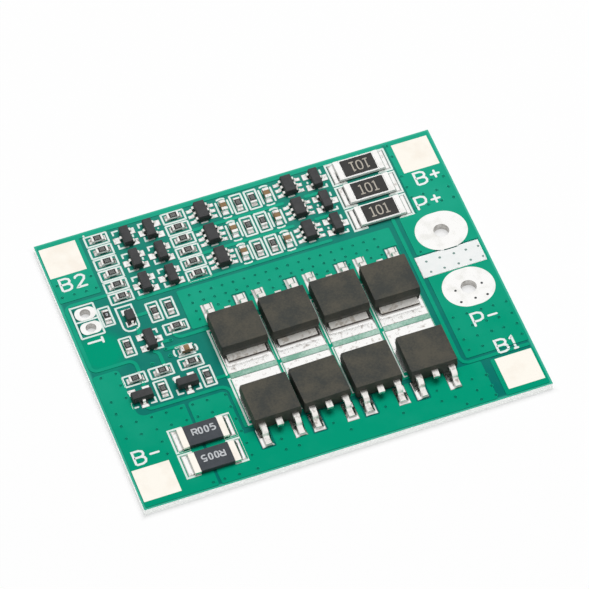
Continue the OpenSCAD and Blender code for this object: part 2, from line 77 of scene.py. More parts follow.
def setInputs(node, inputs):
    # An input takes a value, a socket, or a node, which stands for its first live output
    for socket, value in inputs.items():
        if isinstance(value, bpy.types.Node):
            value = next(output for output in value.outputs if output.enabled)
        if isinstance(value, bpy.types.NodeSocket):
            node.id_data.links.new(value, node.inputs[socket])
        else:
            node.inputs[socket].default_value = value


def addNode(tree, kind, inputs=None, **settings):
    node = tree.nodes.new(kind)
    for name, value in settings.items():
        setattr(node, name, value)
    setInputs(node, inputs or {})
    return node


def linear(hexColour):
    channels = [int(hexColour[i:i + 2], 16) / 255 for i in (1, 3, 5)]
    return tuple(c / 12.92 if c <= 0.04045 else ((c + 0.055) / 1.055) ** 2.4 for c in channels) + (1,)


def startMaterial(name, finish):
    # A material with its fixed values, and its place on the object in metres
    material = bpy.data.materials.new(name)
    material.use_nodes = True
    tree = material.node_tree
    shader = tree.nodes["Principled BSDF"]
    setInputs(shader, finish)
    return material, tree, shader, addNode(tree, "ShaderNodeTexCoord").outputs["Object"]


def coat(tree, shader, colour, height, depth, strength, foot=None):
    # Colour and bumps of a material, depth in mm. foot: the colour of painted shade, mixed in as far as the
    # mesh's climb attribute says
    if foot:
        climb = addNode(tree, "ShaderNodeAttribute", attribute_name="climb")
        colour = addNode(tree, "ShaderNodeMix", {
            "Factor": climb.outputs["Fac"], "A": colour, "B": linear(foot)}, data_type="RGBA")
    bump = addNode(tree, "ShaderNodeBump", {"Height": height, "Distance": depth * mm, "Strength": strength})
    setInputs(shader, {"Base Color": colour, "Normal": bump})


def pastEdge(tree, place):
    # How far a place lies past the board's outline, in metres, and less than 0 within it
    axes = addNode(tree, "ShaderNodeSeparateXYZ", {"Vector": place})
    past = []
    for axis, half in (("X", boardHigh.x), ("Y", boardHigh.y)):
        far = addNode(tree, "ShaderNodeMath", {0: axes.outputs[axis]}, operation="ABSOLUTE")
        past.append(addNode(tree, "ShaderNodeMath", {0: far, 1: half}, operation="SUBTRACT"))
    return addNode(tree, "ShaderNodeMath", {0: past[0], 1: past[1]}, operation="MAXIMUM")


maskLook = {
    "copper": ("#00a07c", "#26ad8e"),    # over copper, deep and pale
    "laminate": ("#06786d", "#2a8f7d"),  # over bare laminate, where less light comes back
    "paler": (-20, 23, 0.4),             # mm: lighter from here to here along Y, a painted sheen towards the back, and the share that clouds add
    "rim": "#3fbb9e",                    # painted light: a paler rim along the routed edge, standing in for the edge lit through the laminate
    "rimWidth": 0.38,                    # mm
    "rimFade": (1.6, 0.3),               # widths from the edge where it starts, and is whole
    "thin": (2.9, 25.4, 4.2),            # mm: middle and reach of a spot where the ink ran thin
    "thinCore": 0.45,                    # share of that reach in which it is thinnest
    "cloudSize": 4.0,                    # mm, where the ink is thicker or thinner
    "clouds": (0.3, 0.7),                # noise at which the colour is deep, and pale
    "peelSize": 0.35,                    # mm, orange peel
    "clothPitch": 0.5,                   # mm between threads of the glass cloth
    "clothShare": 0.25,                  # how much the cloth shows beside the orange peel
    "bumps": (0.004, 0.5),               # their depth in mm, and strength
}


def solderMask(name, colours, rim):
    # Liquid solder mask, cured epoxy ink: satin, a little cloudy, faint orange peel, and lighter towards the back
    # with painted sheen.
    # Over the laminate the glass cloth shows in it too, and a rim lightened with painted light
    material, tree, shader, place = startMaterial(name, {"Roughness": 0.32, "Specular IOR Level": 0.05})
    cloud, height = (addNode(tree, "ShaderNodeTexNoise", {
        "Vector": place, "Scale": 1 / (size * mm), "Detail": detail,
    }) for size, detail in ((maskLook["cloudSize"], 3.0), (maskLook["peelSize"], 2.0)))
    axes = addNode(tree, "ShaderNodeSeparateXYZ", {"Vector": place})
    start, end, swing = maskLook["paler"]
    deep, full = maskLook["clouds"]
    # Painted sheen: the mask grows lighter towards the back, where more reflection shows; clouds of thicker and
    # thinner ink add to it
    back = addNode(tree, "ShaderNodeMapRange", {
        "Value": axes.outputs["Y"], "From Min": start * mm, "From Max": end * mm})
    patch = addNode(tree, "ShaderNodeMapRange", {
        "Value": cloud, "From Min": deep, "From Max": full, "To Min": -0.5 * swing, "To Max": 0.5 * swing})
    pale = addNode(tree, "ShaderNodeMath", {0: back, 1: patch}, operation="ADD", use_clamp=True)
    colour = addNode(tree, "ShaderNodeMix", {
        "Factor": pale, "A": linear(colours[0]), "B": linear(colours[1])}, data_type="RGBA")
    if rim:
        waves = []
        for axis in "XY":
            thread = addNode(tree, "ShaderNodeMath", {
                0: axes.outputs[axis], 1: math.tau / (maskLook["clothPitch"] * mm)}, operation="MULTIPLY")
            waves.append(addNode(tree, "ShaderNodeMath", {0: thread}, operation="SINE"))
        cloth = addNode(tree, "ShaderNodeMath", {0: waves[0], 1: waves[1]}, operation="MULTIPLY")
        height = addNode(tree, "ShaderNodeMath", {
            0: cloth, 1: maskLook["clothShare"], 2: height}, operation="MULTIPLY_ADD")
        x, y, reach = maskLook["thin"]
        fade, whole = maskLook["rimFade"]
        away = addNode(tree, "ShaderNodeVectorMath", {0: place, 1: onBoard(x, y)}, operation="DISTANCE")
        thinness = addNode(tree, "ShaderNodeMapRange", {
            "Value": away, "From Min": maskLook["thinCore"] * reach * mm, "From Max": reach * mm,
            "To Min": 1.0, "To Max": 0.0}, interpolation_type="SMOOTHSTEP")
        # Painted light: the mask turns paler along the routed edge
        glow = addNode(tree, "ShaderNodeMapRange", {
            "Value": pastEdge(tree, place), "From Min": -fade * rim * mm, "From Max": -whole * rim * mm},
            interpolation_type="SMOOTHSTEP")
        for factor, other in ((thinness, maskLook["copper"][0]), (glow, maskLook["rim"])):
            colour = addNode(tree, "ShaderNodeMix", {
                "Factor": factor, "A": colour, "B": linear(other)}, data_type="RGBA")
    coat(tree, shader, colour, height, *maskLook["bumps"])
    return material


wallLook = {
    "colours": ("#eaf0ec", "#fbfcfa"),  # resin and glass
    "plies": 7,                         # glass cloths in the laminate
    "plyShare": 0.25,                   # how much they show beside the fibres
    "dust": 0.12,                       # mm, torn fibres that the router left
    "paintedGlow": 0.36,                    # painted light: emission that makes the wall glow, for light that enters the clear laminate and leaves at its edge
    "bumps": (0.02, 0.6),               # their depth in mm, and strength
}


def routedWall():
    # FR-4, glass cloth in epoxy, cut by a router: pale, layered, dull and slightly furred, and glowing with
    # painted light
    resin, glass = (linear(colour) for colour in wallLook["colours"])
    material, tree, shader, place = startMaterial("FR-4 routed wall", {
        "Roughness": 0.75, "Specular IOR Level": 0.3,
        "Emission Strength": wallLook["paintedGlow"], "Emission Color": glass})
    axes = addNode(tree, "ShaderNodeSeparateXYZ", {"Vector": place})
    pitch = (boardHigh.z - boardLow.z) / wallLook["plies"]
    layer = addNode(tree, "ShaderNodeMath", {0: axes.outputs["Z"], 1: math.tau / pitch}, operation="MULTIPLY")
    ply = addNode(tree, "ShaderNodeMath", {0: layer}, operation="SINE")
    fur = addNode(tree, "ShaderNodeTexNoise", {
        "Vector": place, "Scale": 1 / (wallLook["dust"] * mm), "Detail": 4.0})
    mixed = addNode(tree, "ShaderNodeMath", {
        0: ply, 1: wallLook["plyShare"], 2: fur}, operation="MULTIPLY_ADD")
    colour = addNode(tree, "ShaderNodeMix", {"Factor": mixed, "A": resin, "B": glass}, data_type="RGBA")
    coat(tree, shader, colour, mixed, *wallLook["bumps"])
    return material


# One row a metal: bright colour, dull colour, share that is dull, roughness from and to,
# size of its waves and their depth in mm
metalLook = {
    "tin-lead HASL solder": ("#fcfbf9", "#f0efeb", 0.4, 0.22, 0.38, 0.9, 0.012),  # levelled by hot air: flat
    "warm HASL solder": ("#fffaf0", "#fbf4e9", 0.45, 0.3, 0.45, 1.6, 0.012),  # the same, yellowed by flux
    "reflowed solder": ("#fbfaf8", "#b9b2aa", 0.2, 0.2, 0.4, 0.35, 0.014),  # from paste: bright, grey skin
    "flecked solder": ("#faf8f5", "#aea59d", 0.4, 0.2, 0.4, 0.22, 0.02),  # the same on the small lands
    "tinned copper lead": ("#f3f0ec", "#b8b1aa", 0.3, 0.38, 0.5, 0.4, 0.01),  # dipped tin, copper near
    "tinned copper tab": ("#fdfbf7", "#d2ccc4", 0.5, 0.6, 0.78, 0.42, 0.018),  # matt tin, rubbed
    "sheared copper": ("#77706a", "#4a4541", 0.5, 0.35, 0.55, 0.3, 0.01),  # cut after plating, so dark
    "plated barrel": ("#c6c4c0", "#aba8a3", 0.5, 0.3, 0.5, 0.3, 0.01),  # inside a drilled hole, greyer than the lands' tin as painted shade
    "plated chip end": ("#f7f5f2", "#a59c94", 0.3, 0.3, 0.5, 0.25, 0.008),  # tin over silver paste
}
waveLook = {
    "patchSize": 1.7,      # of the dull patches, in waves
    "dull": (0.62, 0.8),   # noise at which a patch starts and is whole
    "lower": 0.3,          # times the share that is dull, which brings both down
    "strength": 0.6,
    "paintedShadeColour": "#5f5a54",   # painted shade: solder or tin darkened low beside a dark part, for the shade there and the dark part it mirrors
}


def metal(name):
    # Tin and solder: bright, with soft waves left as they froze, duller in patches
    bright, grey, share, smooth, rough, size, depth = metalLook[name]
    material, tree, shader, place = startMaterial(name, {"Metallic": 1.0})
    wave = addNode(tree, "ShaderNodeTexNoise", {"Vector": place, "Scale": 1 / (size * mm), "Detail": 3.0})
    patch = addNode(tree, "ShaderNodeTexNoise", {
        "Vector": place, "Scale": 1 / (waveLook["patchSize"] * size * mm), "Detail": 5.0})
    start, whole = (noise - waveLook["lower"] * share for noise in waveLook["dull"])
    dullness = addNode(tree, "ShaderNodeMapRange", {"Value": patch, "From Min": start, "From Max": whole})
    finish = addNode(tree, "ShaderNodeMapRange", {"Value": dullness, "To Min": smooth, "To Max": rough})
    colour = addNode(tree, "ShaderNodeMix", {
        "Factor": dullness, "A": linear(bright), "B": linear(grey)}, data_type="RGBA")
    setInputs(shader, {"Roughness": finish})
    # Painted shade, where the mesh's climb attribute says
    coat(tree, shader, colour, wave, depth, waveLook["strength"], waveLook["paintedShadeColour"])
    return material


# One row a dull material: two colours, roughness, specular level, grain in mm, its depth in mm
dullLook = {
    "moulded epoxy": ("#3d3f3c", "#545148", 0.6, 0.28, 0.26, 0.006),  # filled black epoxy, matt
    "rubbed epoxy": ("#52504c", "#5c5a55", 0.55, 0.28, 0.09, 0.003),  # its edges, paler as a painted highlight where they catch the light
    "moulded epoxy small": ("#3c3d3e", "#464647", 0.58, 0.28, 0.07, 0.004),  # the same, of the small parts
    "alumina": ("#fbfaf7", "#fffffe", 0.55, 0.5, 0.06, 0.002),  # white sintered ceramic
    "resistor glaze": ("#2d2d2c", "#363534", 0.4, 0.3, 0.12, 0.003),  # dark printed glass, satin
    "current-sense coat": ("#3d4247", "#474b50", 0.5, 0.3, 0.1, 0.004),  # dark epoxy on a metal strip
    "capacitor ceramic": ("#7d6245", "#977a55", 0.5, 0.5, 0.08, 0.003),  # barium titanate, brown and dull
    "silkscreen ink": ("#f7fbfa", "#fefffe", 0.6, 0.2, 0.1, 0.002),  # white epoxy ink, opaque
    "thin silkscreen ink": ("#e6f4ee", "#f3fcf8", 0.6, 0.2, 0.1, 0.002),  # thin lines let green through
    "starved ink": ("#84b8a2", "#c2dfd2", 0.6, 0.2, 0.3, 0.002),  # where little of it came through
    "marking ink": ("#b5aea3", "#c6beb2", 0.6, 0.2, 0.06, 0.001),  # thin pale print on a glaze
    "white marking ink": ("#c3c7cb", "#d8dbde", 0.6, 0.2, 0.06, 0.001),  # thicker
    "small marking ink": ("#858785", "#989a97", 0.6, 0.2, 0.06, 0.001),  # thinner, on the small chips
    "mask in a via": ("#064d44", "#0b594e", 0.4, 0.05, 0.1, 0.002),  # solder mask sunk in a hole, darker as painted shade; also the painted shade beside lands
    "inked via": ("#7f9b94", "#93aaa4", 0.5, 0.2, 0.1, 0.002),  # a hole under the white strip
    "open via": ("#35383a", "#4a4d4d", 0.5, 0.3, 0.1, 0.002),  # painted shade: a dark disc that stands for a hole that the solder left open
}
grainLook = {
    "cloudSize": 12,        # of the broad clouds, in grains
    "fineShare": 0.6,       # how much a grain counts beside a cloud
    "tones": (0.62, 0.98),  # sum at which the first colour shows alone, and the second
    "strength": 0.7,
    "shade": "#2a342f",     # painted shade: a pale side darkened low beside the green board
}


def dull(name):
    low, high, roughness, specular, grain, depth = dullLook[name]
    material, tree, shader, place = startMaterial(name, {
        "Roughness": roughness, "Specular IOR Level": specular})
    fine = addNode(tree, "ShaderNodeTexNoise", {"Vector": place, "Scale": 1 / (grain * mm), "Detail": 3.0})
    broad = addNode(tree, "ShaderNodeTexNoise", {
        "Vector": place, "Scale": 1 / (grainLook["cloudSize"] * grain * mm), "Detail": 2.0})
    both = addNode(tree, "ShaderNodeMath", {
        0: fine, 1: grainLook["fineShare"], 2: broad}, operation="MULTIPLY_ADD")
    first, second = grainLook["tones"]
    share = addNode(tree, "ShaderNodeMapRange", {"Value": both, "From Min": first, "From Max": second})
    colour = addNode(tree, "ShaderNodeMix", {
        "Factor": share, "A": linear(low), "B": linear(high)}, data_type="RGBA")
    # Painted shade, where the piece's climb attribute says
    coat(tree, shader, colour, fine, depth, grainLook["strength"], grainLook["shade"])
    return material


made = [solderMask("solder mask over copper", maskLook["copper"], 0),
        solderMask("solder mask over laminate", maskLook["laminate"], maskLook["rimWidth"]), routedWall()]
made += [metal(name) for name in metalLook] + [dull(name) for name in dullLook]
finishes = {material.name: material for material in made}
print("materials made:", len(finishes))


# Pieces

def plainMesh(piece):
    # What the modifiers make, as the piece's own mesh
    graph = bpy.context.evaluated_depsgraph_get()
    mesh = bpy.data.meshes.new_from_object(
        piece.evaluated_get(graph), preserve_all_data_layers=True, depsgraph=graph)
    piece.modifiers.clear()
    piece.data = mesh
    mesh.name = piece.name


def addPiece(name, mesh):
    piece = bpy.data.objects.new(name, mesh)
    bpy.context.scene.collection.objects.link(piece)
    return piece


def settle(piece, slot=None, *sources):
    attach(piece, "root")
    if sources:
        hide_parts(*sources)
    return piece


def nearCorner(form, share=0.85):
    # Whether a corner of the solid is one of its outermost in plan
    xs = [v.co.x for v in form.verts]
    ys = [v.co.y for v in form.verts]
    middle = ((min(xs) + max(xs)) / 2, (min(ys) + max(ys)) / 2)
    half = ((max(xs) - min(xs)) / 2, (max(ys) - min(ys)) / 2)
    return lambda v: (abs(v.co.x - middle[0]) > share * half[0]
                      and abs(v.co.y - middle[1]) > share * half[1])


def roundCorners(form, radius):
    # Rounds a moulding's upright corners, radius in mm
    outermost = nearCorner(form)
    upright = [e for e in form.edges if all(outermost(v) for v in e.verts)
               and abs(e.verts[0].co.z - e.verts[1].co.z) > 0.25 * e.calc_length()
               and e.calc_length() > 0.1 * mm]
    bmesh.ops.bevel(form, geom=upright, offset=radius * mm, segments=4, profile=0.5,
                    affect="EDGES", clamp_overlap=True)


# One row a kind: slot, finishes, radius of its edges in mm, their segments, radius of a moulding's
# upright corners in mm, and how much painted shade darkens its sides at their foot and how far up
pieceLook = {
    "boardLaminate": ("laminate", ["solder mask over laminate", "FR-4 routed wall"], 0.03, 2, 0, None),
    "copper": ("masked_copper", ["solder mask over copper"], 0.035, 2, 0, None),
    "componentLands": ("tinned_land", ["tin-lead HASL solder"], 0.025, 2, 0, None),
    "cellLand": ("tinned_land", ["warm HASL solder"], 0.04, 3, 0, None),
    "holedLand": ("tinned_land", ["tin-lead HASL solder", "plated barrel"], 0.04, 3, 0, None),
    "mosfet": ("moulded_epoxy", ["moulded epoxy", "rubbed epoxy"], 0.1, 3, 0.16, (0.5, 0.999)),
    "mosfetLeads": ("tinned_lead", ["tinned copper lead", "tinned copper tab", "sheared copper"],
                    0.05, 2, 0, None),
    "smallPackage": ("moulded_epoxy", ["moulded epoxy small"], 0.06, 2, 0.08, None),
    "smallLeads": ("tinned_lead", ["tinned copper lead"], 0.02, 2, 0, None),
    "balanceResistor": ("resistor_coat", ["alumina", "resistor glaze"], 0.03, 2, 0, (1, 0.28)),
    "balanceResistorEnds": ("chip_end", ["tin-lead HASL solder"], 0.04, 3, 0, (1, 0.3)),
    "shuntResistor": ("resistor_coat", ["current-sense coat"], 0.05, 3, 0, (0.8, 0.4)),
    "shuntResistorEnds": ("chip_end", ["warm HASL solder"], 0.06, 3, 0, (0.8, 0.4)),
    "chipResistors": ("resistor_coat", ["alumina", "resistor glaze"], 0.02, 2, 0, (0.8, 0.4)),
    "chipResistorEnds": ("chip_end", ["plated chip end"], 0.025, 2, 0, (0.8, 0.4)),
    "chipCapacitors": ("capacitor_ceramic", ["capacitor ceramic"], 0.03, 2, 0, (0.8, 0.4)),
    "chipCapacitorEnds": ("chip_end", ["plated chip end"], 0.035, 2, 0, (0.4, 0.4)),
}


def dress(source, kind=None, choose=None, settled=None, name=None):
    # Puts a merged copy of a CAD node, named after it and with its edges rounded, in its place.
    # choose gives a face's finish by number, and settled says where a corner really lies
    first, *others = source.split("_")
    name = name or first + "".join(word.title() for word in others)
    slot, looks, width, segments, corner, shade = pieceLook[kind or name]
    mesh = nodes[source].data.copy()
    mesh.materials.clear()
    for look in looks:
        mesh.materials.append(finishes[look])
    form = bmesh.new()
    form.from_mesh(mesh)
    bmesh.ops.remove_doubles(form, verts=form.verts, dist=1e-7)
    bmesh.ops.dissolve_limit(form, angle_limit=math.radians(1), verts=form.verts, edges=form.edges)
    if settled:
        for v in form.verts:
            v.co = settled(v.co)
    if corner:
        roundCorners(form, corner)
    foot, peak = (extreme(v.co.z for v in form.verts) for extreme in (min, max))
    # Painted shade: the sides darken towards their foot, up to a cut made across them
    if shade:
        dark, reach = shade[0], shade[1] * (peak - foot)
        bmesh.ops.bisect_plane(form, geom=form.verts[:] + form.edges[:] + form.faces[:], dist=1e-7,
                               plane_co=(0, 0, foot + reach), plane_no=(0, 0, 1))
    weight = form.edges.layers.float.new("bevel_weight_edge")
    for edge in form.edges:
        if len(edge.link_faces) != 2 or edge.calc_face_angle() < math.radians(35):
            continue
        # What lies inside a moulding's outline stays sharp
        if corner and not all(min(v.co.z - foot, peak - v.co.z) < 1e-6 for v in edge.verts):
            continue
        edge[weight] = 1
    for face in form.faces:
        face.smooth = True
        face.material_index = choose(face) if choose else 0
    form.to_mesh(mesh)
    form.free()
    piece = addPiece(name, mesh)
    bevel = piece.modifiers.new("soft edges", "BEVEL")
    bevel.limit_method = "WEIGHT"
    bevel.width = width * mm
    bevel.segments = segments
    # The bevel takes the paler epoxy: a painted highlight along the edges
    if "rubbed epoxy" in looks:
        bevel.material = looks.index("rubbed epoxy")
    level = piece.modifiers.new("level shading", "WEIGHTED_NORMAL")
    level.keep_sharp = True
    plainMesh(piece)
    # How much painted shade each corner gets, from its height
    if shade:
        climb = piece.data.attributes.new("climb", "FLOAT", "POINT")
        climb.data.foreach_set("value", [
            dark * max(1 - (v.co.z - foot) / reach, 0) for v in piece.data.vertices])
    return settle(piece, slot, source)


def wallFace(face):
    # 1 on the board's routed wall
    return int(abs(face.normal.z) <= 0.5)


def barrelFace(face):
    # 1 on the wall of a drilled hole
    levels = [v.co.z for v in face.verts]
    return int(abs(face.normal.z) < 0.5 and face.calc_area() > 1e-8
               and min(levels) < 0.1 * mm and max(levels) > landTop - 0.1 * mm)


board = dress("board", choose=wallFace, name="boardLaminate")
topCopper = dress("top_copper", "copper")
dress("bottom_copper", "copper")
dress("component_lands")
for mark in ("b_plus", "b_minus", "b1", "b2"):
    dress("terminal_" + mark, "cellLand")
for source in ("terminal_p_plus", "terminal_p_minus", "thermistor_terminals"):
    dress(source, "holedLand", barrelFace)
print("board and lands laid")

frameLook = {
    "tab": 0.51,               # mm above the land, below which the power transistors' tab lies
    "end": (0.15, 1.1),        # mm from the tab's end: its squared corners, and where they began
    "inset": 0.12,             # mm that the squared corners stay inside the tab's own box
    "middleLead": (3.5, 0.7),  # mm: from here out, and within this of the middle
    "bent": (0.2, -0.26),      # mm that its cut end lies back and down
}


def tabFace(i):
    # 1 on the flat of the tab, 2 on its sheared edge, 0 on the leads
    low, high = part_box(f"mosfet_{i}_leads")
    side = 1 if i <= 4 else -1
    middle = (low.y + high.y) / 2

    def pick(face):
        spot = face.calc_center_median()
        if spot.z > landTop + frameLook["tab"] * mm or (spot.y - middle) * side < 0:
            return 0
        return 1 if abs(face.normal.z) > 0.5 else 2

    return pick


def squaredTab(i):
    # The tab's corners are nearly square, and the cut middle lead is bent down a little
    low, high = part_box(f"mosfet_{i}")
    middle = (low + high) / 2
    side = 1 if i <= 4 else -1
    far = (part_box(f"mosfet_{i}_leads")[1 if i <= 4 else 0].y - middle.y) * side
    half = max(abs(v.co.x - middle.x) for v in nodes[f"mosfet_{i}_leads"].data.vertices)
    corner, began = frameLook["end"]
    inset, (start, within), (back, down) = (frameLook[key] for key in ("inset", "middleLead", "bent"))

    def place(spot):
        out = (spot.y - middle.y) * side
        flat = spot.z < landTop + frameLook["tab"] * mm
        if flat and out > far - corner * mm:
            return Vector((middle.x + math.copysign(half - inset * mm, spot.x - middle.x), spot.y, spot.z))
        if flat and out > far - began * mm:
            return Vector((spot.x, middle.y + side * (far - inset * mm), spot.z))
        if out < -start * mm and abs(spot.x - middle.x) < within * mm:
            return spot + Vector((0, back * side, down)) * mm
        return spot

    return place


chipSeat = {
    "height": 0.84,   # of its own, because the six-lead chips sit a little low
    "back": 0.16,     # mm, from the middle of their lands
    "leadFoot": 0.3,  # mm up a lead, below which it stays more and more on its land
}


def lowChip(spot, whole=False):
    height = spot.z - landTop
    share = 1 if whole else min(max(height / (chipSeat["leadFoot"] * mm), 0), 1)
    return Vector((spot.x, spot.y + chipSeat["back"] * mm * share, landTop + chipSeat["height"] * height))


def glazeFace(source, thick=0.055):
    # 1 on the dark glaze of a resistor, thick in mm, and 0 on its ceramic
    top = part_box(source)[1].z
    return lambda face: int(face.calc_center_median().z > top - thick * mm)


for i in range(1, 9):
    dress(f"mosfet_{i}", "mosfet")
    dress(f"mosfet_{i}_leads", "mosfetLeads", tabFace(i), squaredTab(i))
for i in range(1, 13):
    dress(f"transistor_{i}", "smallPackage")
for i in range(1, 7):
    dress(f"protection_ic_{i}", "smallPackage", settled=lambda spot: lowChip(spot, True))
dress("diode", "smallPackage")
dress("transistor_leads", "smallLeads")
dress("protection_ic_leads", "smallLeads", settled=lowChip)
dress("diode_leads", "smallLeads")
for i in (1, 2, 3):
    dress(f"balance_resistor_{i}", "balanceResistor", glazeFace(f"balance_resistor_{i}"))
dress("balance_resistor_ends")
for i in (1, 2):
    dress(f"shunt_resistor_{i}", "shuntResistor")
dress("shunt_resistor_ends")
dress("chip_resistors", choose=glazeFace("chip_resistors"))
for source in ("chip_resistor_ends", "chip_capacitors", "chip_capacitor_ends"):
    dress(source)
print("parts placed")


# Where the parts are

partPlaces = {
    "rows": [42.17, 38.12, 34.07],
    # Columns: along X, then how far back of the middle of its row each part lies, then its turn
    "chipColumns": [(8.27, -0.14), (18.92, -0.07)],
    "columnPitch": 2.025,
    "rowResistors": [(27.76, -0.1), (29.8, -0.04)],
    "rowCapacitors": [(25.71, -0.04), (31.84, -0.12)],
    "controlResistors": [
        (5.34, 30.6, 90), (11.46, 29.08, 90), (13.53, 29.14, 90), (6.34, 25.02, 90), (13.39, 25.82, 0),
        (13.35, 19.7, 0), (5.56, 19.7, 0), (9.26, 19.67, 0), (8.4, 16.9, 90), (14.51, 16.9, 90)],
    "controlCapacitor": (13.34, 21.74, 0),
    "transistorColumns": [(11.8, -0.24, 0), (15.34, -0.24, 0), (38.86, 0.02, 180)],
    "controlTransistors": [(9.47, 24.9, 180), (5.45, 16.7, 90), (11.63, 16.7, 90)],
    "icColumns": [(22.7, 0.04), (34.99, 0.04)],
    "diode": (8, 29.42),
    "balanceX": 44.95,
    "shunts": [(10.95, 8.58), (10.95, 4.48)],
    "mosfetColumns": [20.45 + 7.1 * i for i in range(4)],
    "mosfetRows": [(9.52, 0), (22.1, 180)],
}
# How far the parts settled from their lands: along X and along Y, then turned in degrees
drifts = {
    "transistors": [
        (0.15, -0.01), (0.08, 0.06), (0.01, 0.03), (-0.1, 0.07), (0.14, 0.05), (0.18, 0), (-0.08, -0.02),
        (-0.1, 0.02), (-0.04, 0.04), (-0.07, -0.04), (0.03, -0.03), (0.06, -0.03)],
    "diode": (0.18, -0.06),
    "shunts": [(-0.06, -0.12), (0.04, -0.22)],
    "mosfets": [
        [(0.08, 0, 0.3), (-0.18, 0.26, 1.2), (-0.14, 0.18, 0.2), (0.31, -0.04, -0.4)],
        [(-0.02, -0.24, 0), (-0.06, -0.22, 0.4), (-0.01, -0.12, 0.1), (-0.04, -0.16, -0.3)]],
}
rows = partPlaces["rows"]
chipResistors = [(x, rows[0] + back + partPlaces["columnPitch"] * (0.5 - i), 0)
                 for x, back in partPlaces["chipColumns"] for i in range(6)]
chipResistors += [(x, y + back, 90) for x, back in partPlaces["rowResistors"] for y in rows]
chipResistors += partPlaces["controlResistors"]
chipCapacitors = [(x, y + back, 90) for x, back in partPlaces["rowCapacitors"] for y in rows]
chipCapacitors.append(partPlaces["controlCapacitor"])
transistors = [(x, y + back, turn) for x, back, turn in partPlaces["transistorColumns"] for y in rows]
transistors += partPlaces["controlTransistors"]
chips = [(x, y + back) for x, back in partPlaces["icColumns"] for y in rows]


# Copies on points, for solder joints and vias

def startTree(name, inputs):
    # A Geometry Nodes tree, and what comes in at its named inputs
    tree = bpy.data.node_groups.new(name, "GeometryNodeTree")
    for socket, kind in [("Geometry", "Geometry"), *inputs, ("Material", "Material")]:
        tree.interface.new_socket(socket, in_out="INPUT", socket_type="NodeSocket" + kind)
    tree.interface.new_socket("Geometry", in_out="OUTPUT", socket_type="NodeSocketGeometry")
    return tree, addNode(tree, "NodeGroupInput").outputs


def endTree(tree, geometry, material):
    painted = addNode(tree, "GeometryNodeSetMaterial", {"Geometry": geometry, "Material": material})
    addNode(tree, "NodeGroupOutput", {"Geometry": painted})
    return tree


def copiesTree():
    # Sets one shape at each point, turned as the point says, then ruffles its upper side
    tree, given = startTree("copies on points", [
        ("Shape", "Object"), ("Least Size", "Vector"), ("Most Size", "Vector"), ("Wave Size", "Float"),
        ("Wave Height", "Float"), ("Wave Start", "Float"), ("Seed", "Int")])
    shape = addNode(tree, "GeometryNodeObjectInfo", {"Object": given["Shape"]})
    turn = addNode(tree, "GeometryNodeInputNamedAttribute", {"Name": "turn"}, data_type="FLOAT_VECTOR")
    rotation = addNode(tree, "FunctionNodeEulerToRotation", {"Euler": turn})
    size = addNode(tree, "FunctionNodeRandomValue", {
        "Min": given["Least Size"], "Max": given["Most Size"], "Seed": given["Seed"]},
        data_type="FLOAT_VECTOR")
    placed = addNode(tree, "GeometryNodeInstanceOnPoints", {
        "Points": given["Geometry"], "Instance": shape.outputs["Geometry"],
        "Rotation": rotation, "Scale": size})
    real = addNode(tree, "GeometryNodeRealizeInstances", {"Geometry": placed})
    place = addNode(tree, "GeometryNodeInputPosition")
    wave = addNode(tree, "ShaderNodeTexNoise", {
        "Vector": place, "Scale": given["Wave Size"], "Detail": 1.0})
    axes = addNode(tree, "ShaderNodeSeparateXYZ", {"Vector": place})
    share = addNode(tree, "ShaderNodeMapRange", {
        "Value": axes.outputs["Z"], "From Min": given["Wave Start"], "From Max": boardHigh.z + 0.3 * mm})
    swing = addNode(tree, "ShaderNodeMath", {0: wave, 1: 0.5}, operation="SUBTRACT")
    swell = addNode(tree, "ShaderNodeMath", {0: swing, 1: given["Wave Height"]}, operation="MULTIPLY")
    lift = addNode(tree, "ShaderNodeMath", {0: swell, 1: share}, operation="MULTIPLY")
    offset = addNode(tree, "ShaderNodeCombineXYZ", {"Z": lift})
    ruffled = addNode(tree, "GeometryNodeSetPosition", {"Geometry": real, "Offset": offset})
    return endTree(tree, ruffled, given["Material"])


def grow(piece, tree, values):
    # Runs a tree on a piece with named inputs, and keeps what it makes
    modifier = piece.modifiers.new(tree.name, "NODES")
    modifier.node_group = tree
    for item in tree.interface.items_tree:
        if item.in_out == "INPUT" and item.name in values:
            modifier[item.identifier] = values[item.name]
    plainMesh(piece)


def pointCloud(name, places):
    # places: (point, turn about X, Y and Z in degrees)
    mesh = bpy.data.meshes.new(name)
    mesh.from_pydata([place for place, turn in places], [], [])
    turns = mesh.attributes.new("turn", "FLOAT_VECTOR", "POINT")
    turns.data.foreach_set("vector", [math.radians(a) for place, turn in places for a in turn])
    return addPiece(name, mesh)


